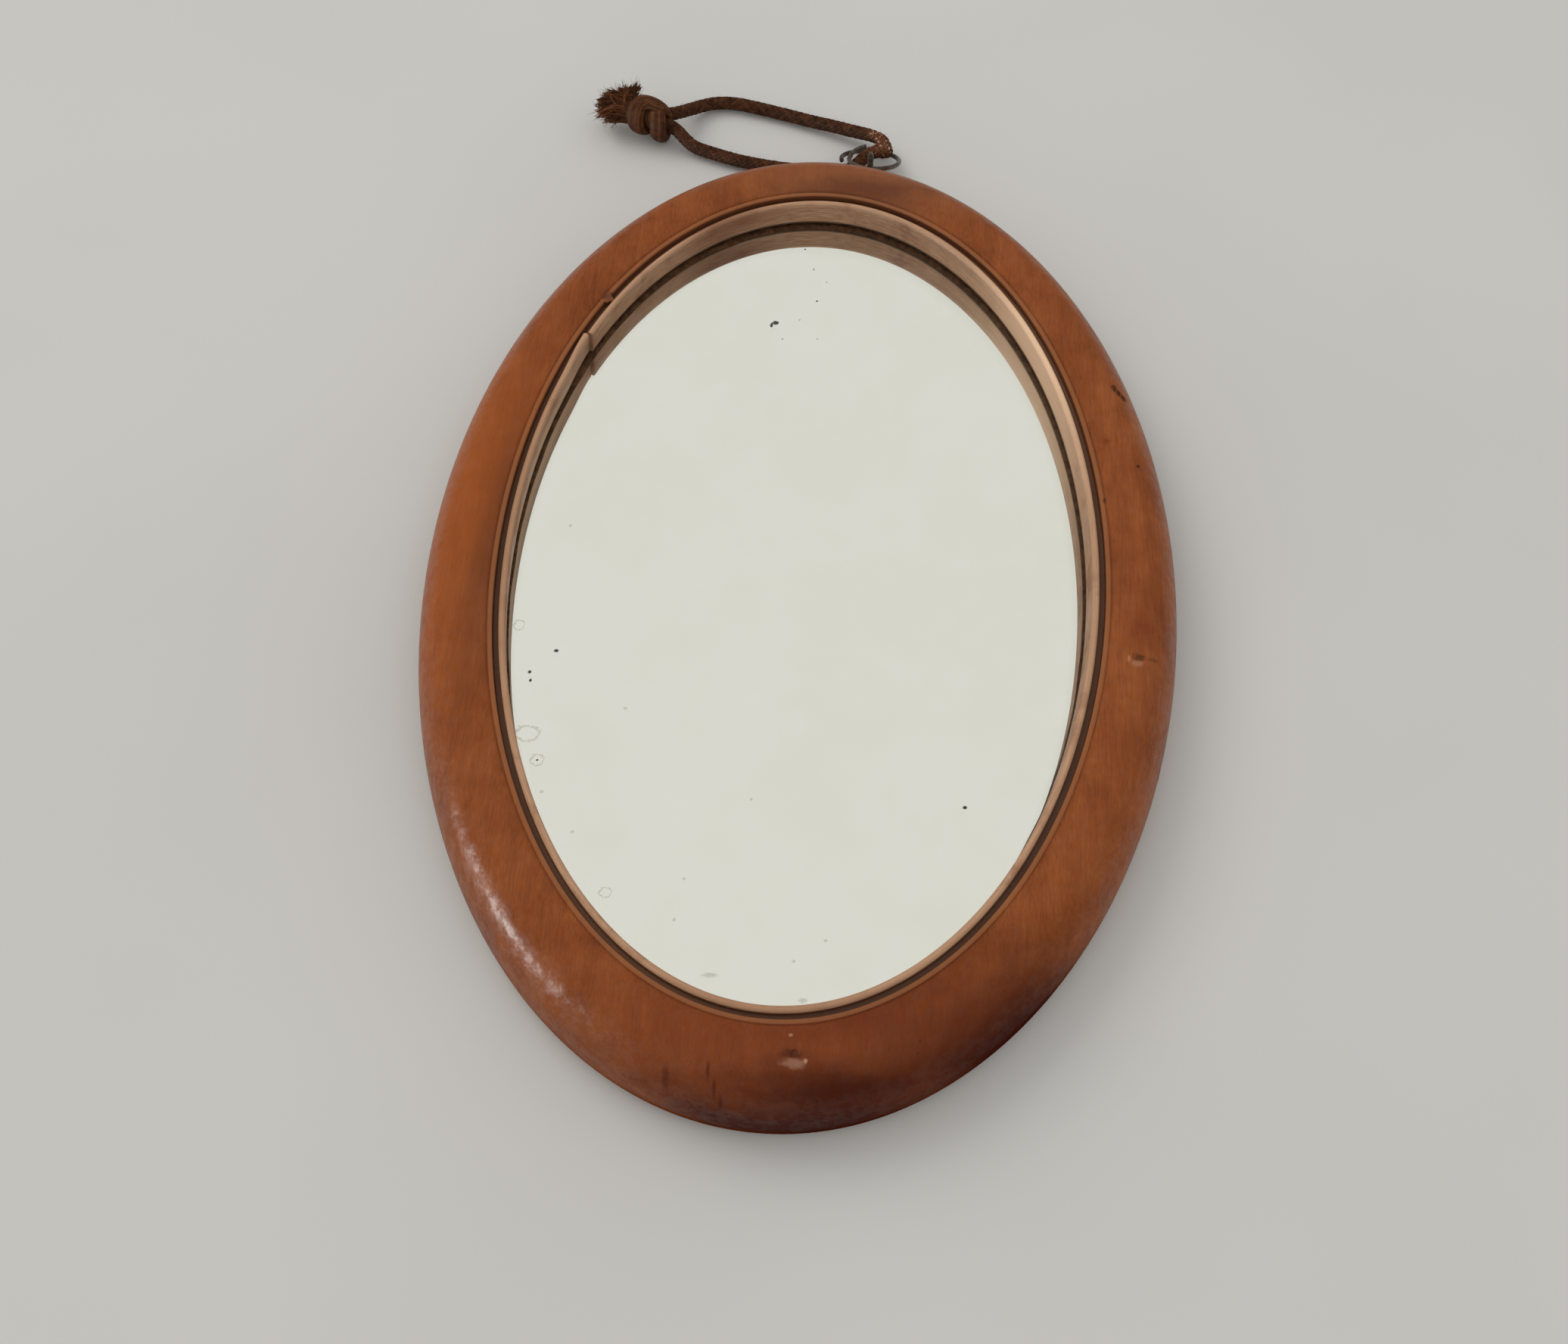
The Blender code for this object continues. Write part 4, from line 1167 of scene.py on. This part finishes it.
def frame_section():
    """From the rounded back edge over the dome to the quirk and lip, and back by the rebate.
    Also gives where round the section each part starts, as shares."""
    points = []
    for k in range(BACK_EDGE_STEPS):
        fall = pi / 2 * (1 - k / BACK_EDGE_STEPS)
        points.append((BACK_EDGE_ROUND * (1 - cos(fall)), WIDEST_HEIGHT * (1 - sin(fall))))
    for k in range(DOME_STEPS):
        lift = pi / 2 * k / DOME_STEPS
        height = WIDEST_HEIGHT + (FRAME_THICKNESS - WIDEST_HEIGHT) * sin(lift)
        points.append((CROWN_INSET * (1 - cos(lift)), height))
    lip_inset = FRAME_WIDTH - LIP_WIDTH
    quirk_inset = lip_inset - QUIRK_WIDTH
    fall_width = lip_inset - CROWN_INSET
    for k in range(FALL_STEPS + 1):
        share = k / FALL_STEPS * (quirk_inset - CROWN_INSET) / fall_width
        points.append((CROWN_INSET + share * fall_width, FRAME_THICKNESS - LIP_DROP * share**2))
    lip_height = FRAME_THICKNESS - LIP_DROP
    starts = {"quirk": len(points) - 1}
    points.append((quirk_inset + QUIRK_WIDTH / 2, lip_height - QUIRK_DEPTH))
    points.append((lip_inset, lip_height - LIP_EDGE_DROP))
    starts["lip"] = len(points) - 1
    points.append((lip_inset + LIP_EDGE_WIDTH, lip_height + LIP_EDGE_RISE))
    points.append((lip_inset + LIP_WIDTH / 2, lip_height + LIP_CROWN_RISE))
    for k in range(LIP_STEPS + 1):
        fall = pi / 2 * k / LIP_STEPS
        points.append((FRAME_WIDTH - LIP_ROUND * (1 - sin(fall)), lip_height - LIP_ROUND * (1 - cos(fall))))
    starts["wall"] = len(points) - 1
    points.append((FRAME_WIDTH, lip_height - GROOVE_DEPTH))
    points.append((FRAME_WIDTH, REBATE_HEIGHT))
    rebate = FRAME_WIDTH - REBATE_WIDTH
    points.append((rebate, REBATE_HEIGHT))
    points.append((rebate, 0))
    starts["back"] = len(points) - 1
    for k in range(1, BACK_STEPS):
        points.append((rebate - k / BACK_STEPS * (rebate - BACK_EDGE_ROUND), 0))
    return points, shares_round(starts, points)


def slip_section():
    """Outer face, groove, half-round top, inner wall and foot, with the shares where bead and foot start."""
    foot = GLASS_TOP + SLIP_FOOT_GAP
    top = FRAME_THICKNESS - SLIP_TOP_DROP
    groove = top - GROOVE_DEPTH
    outside = FRAME_WIDTH + SLIP_CLEARANCE
    bead = FRAME_WIDTH + GROOVE_WIDTH
    inside = bead + SLIP_WIDTH
    radius = SLIP_WIDTH / 2
    points = [(outside, foot), (outside, groove)]
    points += [(bead - GROOVE_ROUND, groove), (bead, groove + GROOVE_ROUND)]
    starts = {"bead": len(points)}
    for k in range(BEAD_STEPS + 1):
        turn = pi * k / BEAD_STEPS
        points.append((bead + radius * (1 - cos(turn)), top - radius * (1 - sin(turn))))
    wall = foot + SLIP_FOOT_ROUND - top + radius
    for k in range(1, SLIP_WALL_STEPS + 1):
        points.append((inside, top - radius + k / SLIP_WALL_STEPS * wall))
    starts["foot"] = len(points) - 1
    points.append((inside - SLIP_FOOT_ROUND, foot))
    return points, shares_round(starts, points)


def slip_lean(turns):
    """How far the slip's foot stands in from its top: in at the right, out at the left."""
    return SLIP_LEAN + SLIP_LEAN_SWING * np.cos(turns)


def frame_wood(starts):
    """Reddish-brown waxed wood with fine grain, darker low down from stain and painted shade, lighter on the
    left partly from painted light, greyer at the top from painted sheen, with a pale lip that is a painted
    highlight, painted shade in the quirk and a bare back.
    """
    look = Look("frame_wood")
    where = look.oval_mm()
    _, share = look.section_share()
    lip, wall = starts["lip"], starts["wall"]
    grain = look.grain(where, (2.6, 0.13, 2.6))
    blotches = look.noise(where, 0.09, 4.0, 0.6)
    tint = look.blend((grain["Fibre"], 0.35), (grain["Figure"], 0.25), (blotches, 0.4))
    look.colour = look.ramp(tint, (0.34, WOOD_DARK), (0.50, WOOD_MID), (0.66, WOOD_LIGHT))
    look.lay(WOOD_STAIN_AND_SHADE, grain["Pores"], 0.2)
    look.lay_spots(FRAME_STAINS_AND_PAINTED_LIGHT, where, 0.8, 0.9)
    # Painted shade: a darker line along the quirk
    off_quirk = look.maths("ABSOLUTE", look.less(share, (starts["quirk"] + lip) / 2))
    look.lay(GRIME_AND_SHADE, look.remap(off_quirk, 0.026, 0.006), 0.2)
    # Painted highlight: the lip paler along its top
    on_lip = look.remap(share, lip + 0.004, lip + 0.02)
    look.lay(LIP_TAN, look.times(on_lip, look.remap(share, wall + 0.004, wall - 0.01)), 0.6)
    look.lay(GROOVE_BROWN, look.remap(share, wall - 0.004, wall + 0.006), 0.95)
    bare = look.ramp(tint, (0.36, WOOD_GREY), (0.48, SLIP_BROWN), (0.62, WOOD_BARE))
    bare = look.mix(look.times(grain["Pores"], 0.4), bare, WOOD_STAIN_AND_SHADE)
    back = look.remap(share, starts["back"] - 0.01, starts["back"])
    look.lay(bare, back, 0.8)
    look.lay_spots(FRAME_MARKS_AND_PAINTED_GLINTS, where, 1.1, 0.7)
    look.lay(GRIME_AND_SHADE, look.flecks(where, 6.0, 0.14, 0.08), 0.5)
    rough = look.blend((look.remap(blotches, 0.3, 0.7, 0.3, 0.38), 1.0), (back, 0.4))
    waxed = look.remap(look.noise(where, 0.4, 4.0, 0.65), 0.44, 0.56, 0.4, 1.0)
    gloss = look.times(waxed, look.remap(look.height(where), 4.0, 11.0, 0.0, 0.17))
    dulled = look.spot(where, (48, -108, 4), (80, 60, 18), 0.3, 0.9)
    gloss = look.times(gloss, look.less(1.0, dulled))
    lumps = look.blend((grain["Fibre"], 0.15), (look.noise(where, 0.28, 2.0, 0.5), 2.0))
    return look.done(Roughness=rough, Specular_IOR_Level=gloss, Normal=look.bump(lumps, 0.22 * MM, 0.5))


def slip_wood(starts):
    """Tan bent strip with its grain along its length, dark in the groove, with painted shade at the foot and
    pale patches of painted light on its inner wall.
    """
    look = Look("slip_wood", Specular_IOR_Level=0.4)
    where = look.oval_mm()
    along, share = look.section_share()
    laid = look.add("CombineXYZ", {0: look.times(along, SLIP_RUN_MM), 1: look.times(share, SLIP_GIRTH_MM)})[0]
    grain = look.grain(laid, (0.12, 2.6, 1.0))
    look.colour = look.mix(look.remap(grain["Fibre"], 0.35, 0.65), SLIP_BROWN, SLIP_TAN)
    look.lay(SLIP_BROWN, look.remap(grain["Figure"], 0.45, 0.7, 0.0, 0.4))
    look.lay(WOOD_STAIN_AND_SHADE, grain["Pores"], 0.3)
    dirt = look.noise(where, 0.12, 4.0, 0.6)
    look.lay(WOOD_DARK, look.remap(dirt, 0.52, 0.72, 0.0, 0.4))
    look.lay_spots(SLIP_PATCHES_AND_PAINTED_LIGHT, where, 0.6, 0.9)
    look.lay(GROOVE_BROWN, look.remap(share, starts["bead"] + 0.10, starts["bead"] + 0.02), 0.92)
    # Painted shade: the foot dark where it meets the glass
    off_foot = look.maths("ABSOLUTE", look.less(share, starts["foot"]))
    look.lay(GRIME_AND_SHADE, look.remap(off_foot, 0.03, 0.01), 0.85)
    rough = look.remap(dirt, 0.3, 0.7, 0.42, 0.6)
    return look.done(Roughness=rough, Normal=look.bump(grain["Fibre"], 0.2 * MM, 0.4))


def push(piece, place, move, size, falloff):
    """Takes hold of the point nearest to a place and moves it, drawing its neighbours along."""
    held = min((vertex.co for vertex in piece.data.vertices), key=lambda spot: (spot - place).length).copy()
    choose(piece, "VERT", lambda spot: (spot - held).length < SAME_PLACE)
    drag(move, size, falloff)


def chip_frame(oval):
    """Divides the faces round each knock more finely, then pushes points of them in turn."""
    for place, reach, pushes in FRAME_CHIPS:
        centre = on_oval(*place)
        choose(oval, "FACE", lambda spot: (spot - centre).length < reach * MM)
        bpy.ops.mesh.subdivide(number_cuts=CHIP_CUTS)
        mode("OBJECT")
        for offset, move, size, falloff in pushes:
            push(oval, centre + Vector(offset) * MM, move, size, falloff)


def spring_joint(strip):
    """Cuts the bent slip through at its joint, closes both ends and moves the lower one out of line, where it
    has sprung: outwards, towards the other end and up."""

    def past_joint(place):
        turns = oval_turns(np.array([(place.x, place.y - OVAL_CENTRE_Y)]))
        return turns[0] - SLIP_JOINT_TURN

    choose(strip, "FACE", lambda place: 0 < past_joint(place) < SLIP_JOINT_GAP)
    bpy.ops.mesh.delete(type="FACE")
    bpy.ops.mesh.select_mode(type="EDGE")
    bpy.ops.mesh.select_non_manifold()
    bpy.ops.mesh.fill_holes(sides=0)
    mode("OBJECT")
    outward = Vector((HALF_LENGTH * cos(SLIP_JOINT_TURN), HALF_WIDTH * sin(SLIP_JOINT_TURN), 0)).normalized()
    backward = Vector((outward.y, -outward.x, 0))
    out, back, up = SLIP_JOINT_STEP
    choose(strip, "VERT", lambda place: 0 < past_joint(place) < SLIP_JOINT_HOLD)
    drag(outward * out + backward * back + Vector((0, 0, up)), SLIP_JOINT_REACH, "SMOOTH", connected=True)


def mouldings():
    section, starts = frame_section()
    oval = swept("moulded_frame", section)
    ease_opening(oval)
    chip_frame(oval)
    tidy_mesh(oval, MOULDING_SHARP)
    finish_piece(oval, frame_wood(starts), "mirror", "frame_wood", "oval_frame")
    section, starts = slip_section()
    strip = swept("bent_slip", section, SLIP_JOINT_TURN)
    ease_opening(strip, slip_lean)
    spring_joint(strip)
    tidy_mesh(strip, MOULDING_SHARP)
    finish_piece(strip, slip_wood(starts), "mirror", "slip_wood", "inner_slip")


# Glass and back

def clear_glass():
    look = Look("clear_glass", Transmission_Weight=1.0, IOR=1.5)
    where = look.object_mm()
    haze = look.noise(where, 0.05, 3.0, 0.6)
    look.colour = look.mix(look.remap(haze, 0.4, 0.7), GLASS_CLEAR, GLASS_HAZE)
    smears = look.noise(look.stretch(where, (0.3, 0.05, 1.0)), 1.0, 3.0, 0.6)
    return look.done(Roughness=look.remap(smears, 0.4, 0.75, 0.0, 0.012))


def old_silver():
    """Silvering behind the glass, with black specks where it has gone and faint rings of foxing. It faces a
    little to the right, as the glass does in the photograph."""
    look = Look("old_silver", Metallic=1.0)
    where = look.stretch(look.oval_mm(), (1, 1, 0))
    cloud = look.noise(where, 0.03, 3.0, 0.6)
    look.colour = look.mix(look.remap(cloud, 0.35, 0.65), SILVER, SILVER_DULL)

    def masks(places, ragged, soft):
        return [look.spot(where, (x, y, 0), (wide, tall, 1), ragged, soft) for x, y, wide, tall in places]

    for mask in masks(FAINT_SPOTS, 1.2, 0.8):
        look.lay(FOXING, mask, 0.6)
    for mask in masks(FOXED_RINGS, 1.1, 0.35):
        look.lay(FOXING, look.times(mask, look.less(1.0, mask)), 2.4)
    for mask in masks(DARK_SPECKS, 1.3, 0.4):
        look.lay(SPECK, mask)
    facing = look.vector("ADD", look.add("NewGeometry")["Normal"], MIRROR_TILT)[0]
    facing = look.vector("NORMALIZE", facing)[0]
    return look.done(Roughness=look.remap(cloud, 0.3, 0.8, 0.0, 0.03), Normal=facing)


def silvering():
    """A thin oval sheet just behind the glass."""
    deselect()
    place = (0, 0, GLASS_LOW[2] - SILVER_GAP)
    bpy.ops.mesh.primitive_circle_add(vertices=SILVER_SIDES, radius=1, fill_type="NGON", location=place)
    sheet = bpy.context.object
    sheet.name = "silvering"
    half_width, half_length = [(GLASS_HIGH[k] - GLASS_LOW[k]) / 2 - SILVER_MARGIN for k in range(2)]
    sheet.scale = (half_width, half_length, 1)
    apply_transforms()
    mode("EDIT")
    bpy.ops.mesh.select_all(action="SELECT")
    bpy.ops.mesh.inset(thickness=SILVER_BORDER)
    mode("OBJECT")
    wall = sheet.modifiers.new("thickness", "SOLIDIFY")
    wall.thickness = SILVER_THICKNESS
    bpy.ops.object.modifier_apply(modifier=wall.name)
    shift_to_oval(sheet)
    tidy_mesh(sheet)
    finish_piece(sheet, old_silver(), "mirror", "silvered_glass")


def rim_lean(turns):
    """How far the tarnished rim, which past the slip's foot is also a painted reflection of the slip, reaches
    in past the slip's top: most at the hanging end, and ragged.
    """
    ragged = RIM_RAGGED * np.sin(37 * turns) * np.sin(11 * turns + 1)
    return slip_lean(turns) + RIM_REACH + RIM_REACH_AT_TOP * np.maximum(0, np.sin(turns)) + ragged


def tarnish_and_reflection_silver():
    # Brown for the silvering's tarnished edge, which also stands in as a painted reflection of the slip
    look = Look("tarnish_and_reflection_silver", Specular_IOR_Level=0.2)
    blotches = look.noise(look.oval_mm(), 0.6, 4.0, 0.6)
    look.colour = look.mix(look.remap(blotches, 0.35, 0.65), TARNISH_AND_REFLECTION_DARK, TARNISH_AND_REFLECTION_LIGHT)
    return look.done(Roughness=look.remap(blotches, 0.3, 0.7, 0.5, 0.7))


def tarnish_and_reflection_rim():
    """The edge of the silvering under the slip, gone brown: a thin strip between glass and silver. Past the
    slip's foot its brown also stands in as a painted reflection of the slip.
    """
    top = GLASS_LOW[2] - RIM_THICKNESS
    bottom = top - RIM_THICKNESS
    outer = FRAME_WIDTH - RIM_HIDDEN
    inner = FRAME_WIDTH + GROOVE_WIDTH + SLIP_WIDTH
    strip = swept("tarnish_and_reflection_rim", [(outer, top), (outer, bottom), (inner, bottom), (inner, top)])
    ease_opening(strip, rim_lean)
    tidy_mesh(strip)
    finish_piece(strip, tarnish_and_reflection_silver(), "mirror", "silvered_glass")


def board_wood():
    """Thin unfinished board with its grain along the mirror, darkened with age."""
    look = Look("board_wood", Specular_IOR_Level=0.3)
    where = look.object_mm()
    grain = look.grain(where, (1.1, 0.05, 1.1))
    look.colour = look.mix(look.remap(grain["Fibre"], 0.3, 0.7), BOARD_DARK, BOARD_PALE)
    look.lay(BOARD_FIGURE, look.remap(grain["Figure"], 0.42, 0.62, 0.0, 0.6))
    look.lay(GRIME_AND_SHADE, grain["Pores"], 0.5)
    look.lay(BOARD_DAMP, look.remap(look.noise(where, 0.02, 4.0, 0.6), 0.52, 0.68, 0.0, 0.45))
    rough = look.remap(grain["Fibre"], 0.3, 0.7, 0.62, 0.8)
    return look.done(Roughness=rough, Normal=look.bump(grain["Fibre"], 0.3 * MM, 0.5))


def packing_paper():
    """Brown paper with flecks of fibre."""
    look = Look("packing_paper", Specular_IOR_Level=0.2)
    where = look.object_mm()
    fibre = look.noise(where, 1.2, 4.0, 0.7)
    look.colour = look.mix(look.remap(fibre, 0.3, 0.7), PAPER_DARK, PAPER_PALE)
    look.lay(PAPER_FLECK, look.flecks(where, 1.5, 0.2, 0.2))
    return look.done(Roughness=look.remap(fibre, 0.3, 0.7, 0.8, 0.92))


def nail_steel():
    """Old brads, mostly brown with rust."""
    look = Look("nail_steel", Metallic=0.6)
    patches = look.noise(look.object_mm(), 1.3, 4.0, 0.7)
    look.colour = look.mix(look.remap(patches, 0.42, 0.6), STEEL_DARK, RUST)
    rough = look.remap(patches, 0.35, 0.65, 0.4, 0.75)
    return look.done(Roughness=rough, Normal=look.bump(patches, 0.2 * MM, 0.5))


def extend(length, swell):
    """Draws the chosen faces out along X and swells them about the X axis."""
    bpy.ops.mesh.extrude_region_move(TRANSFORM_OT_translate={"value": (length, 0, 0)})
    bpy.ops.transform.resize(value=(1, swell, swell), center_override=(0, 0, 0))


def brad_model():
    """One headed pin along +X, its head at the origin, pointing outwards."""
    shank_end = BRAD_LENGTH - BRAD_POINT
    shank = shank_end - BRAD_HEAD_HEIGHT
    deselect()
    bpy.ops.mesh.primitive_cylinder_add(
        vertices=BRAD_SIDES, radius=BRAD_DIAMETER / 2, depth=shank, rotation=(0, pi / 2, 0)
    )
    brad = bpy.context.object
    brad.location = (BRAD_HEAD_HEIGHT + shank / 2, 0, 0)
    apply_transforms()
    choose(brad, "FACE", lambda place: place.x > shank_end - SAME_PLACE)
    extend(BRAD_POINT, BRAD_POINT_SHARE)
    mode("OBJECT")
    choose(brad, "FACE", lambda place: place.x < BRAD_HEAD_HEIGHT + SAME_PLACE)
    extend(0, BRAD_HEAD / BRAD_DIAMETER)
    extend(BRAD_HEAD_BEVEL - BRAD_HEAD_HEIGHT, 1)
    extend(-BRAD_HEAD_BEVEL, BRAD_HEAD_TOP_SHARE)
    mode("OBJECT")
    tidy_mesh(brad)
    return brad


def brads():
    steel = nail_steel()
    pattern = brad_model()
    height = BOARD_LOW[2] - BRAD_CLEARANCE - BRAD_HEAD / 2
    rng = random.Random(BRAD_SEED)
    for k in range(BRAD_COUNT):
        turn = 2 * pi * (k + 0.5) / BRAD_COUNT
        head_at = oval_point(turn, FRAME_WIDTH - REBATE_WIDTH + BRAD_LENGTH - BRAD_IN_WOOD)
        outward = oval_point(turn, 0) - head_at
        brad = new_object(f"pin_{k + 1:02d}", pattern.data.copy())
        place = Matrix.Translation((head_at.x, head_at.y + OVAL_CENTRE_Y, height))
        roll = Matrix.Rotation(rng.uniform(0, 2 * pi), 4, "X")
        brad.data.transform(place @ Matrix.Rotation(atan2(outward.y, outward.x), 4, "Z") @ roll)
        finish_piece(brad, steel, "mirror", "nail_steel", f"brad_{k + 1:02d}")
    bpy.data.objects.remove(pattern)


def paint_node(node, material):
    for holder in frame["nodes"][node].material_slots:
        holder.material = material


def glass_and_back():
    paint_node("mirror_glass", clear_glass())
    paint_node("packing_sheet", packing_paper())
    paint_node("backing_board", board_wood())
    silvering()
    tarnish_and_reflection_rim()
    brads()


# Floor, light and camera

def floor():
    deselect()
    bpy.ops.mesh.primitive_plane_add(size=FLOOR_SIZE, location=(0, 0, -FLOOR_DROP))
    ground = bpy.context.object
    ground.name = "floor"
    look = Look("floor_paint", Specular_IOR_Level=0.0)
    cloud = look.noise(look.object_mm(), 0.006, 3.0, 0.5)
    look.colour = look.mix(look.remap(cloud, 0.35, 0.65), FLOOR_GREY, FLOOR_PALE)
    ground.data.materials.append(look.done(Roughness=look.remap(cloud, 0.3, 0.7, 0.6, 0.7)))


def area_light(name, place, target, width, height, power, colour):
    light = bpy.data.lights.new(name, "AREA")
    light.shape = "RECTANGLE"
    light.size = width
    light.size_y = height
    light.energy = power
    light.color = colour
    lamp = new_object(name, light)
    lamp.location = place
    lamp.rotation_euler = (Vector(target) - Vector(place)).to_track_quat("-Z", "Y").to_euler()
    return lamp


def studio_light():
    """A broad window from the back left, a low lamp that only glints on the wood, and a pale room that a
    mirror sees bright and polished wood sees dim."""
    window = area_light("window_light", *WINDOW)
    window.visible_glossy = False
    window.visible_transmission = False
    area_light("glint_light", *GLINT).visible_diffuse = False
    world = bpy.data.worlds.new("pale_room")
    bpy.context.scene.world = world
    world.use_nodes = True
    nodes = Nodes(world.node_tree)
    nodes.tree.nodes.clear()
    path = nodes.add("LightPath")
    through = path["Is Transmission Ray"]
    seen = nodes.maths("MAXIMUM", path["Is Camera Ray"], through)
    polished = nodes.times(path["Is Glossy Ray"], nodes.less(1.0, through))
    room = nodes.add("Background", {"Color": ROOM_COLOUR, "Strength": ROOM_STRENGTH})[0]
    dim = nodes.add("Background", {"Color": MIRROR_VIEW, "Strength": POLISH_STRENGTH})[0]
    bright = nodes.add("Background", {"Color": MIRROR_VIEW, "Strength": 1.0})[0]
    lit = nodes.add("MixShader", {0: polished, 1: room, 2: dim})[0]
    whole = nodes.add("MixShader", {0: seen, 1: lit, 2: bright})[0]
    nodes.add("OutputWorld", {"Surface": whole})


def camera():
    made = bpy.data.cameras.new("camera")
    made.lens = CAMERA_LENS
    made.sensor_fit = "HORIZONTAL"
    made.sensor_width = CAMERA_SENSOR
    made.clip_start = 0.01
    holder = new_object("camera", made)
    backward = -CAMERA_FORWARD.normalized()
    right = (CAMERA_RIGHT - backward * CAMERA_RIGHT.dot(backward)).normalized()
    turned = Matrix((right, backward.cross(right), backward)).transposed()
    holder.matrix_world = Matrix.Translation(CAMERA_PLACE) @ turned.to_4x4()
    bpy.context.scene.camera = holder
    bpy.context.scene.view_settings.view_transform = "Standard"


camera()
hanging_cord()
hanger()
mouldings()
glass_and_back()
floor()
studio_light()
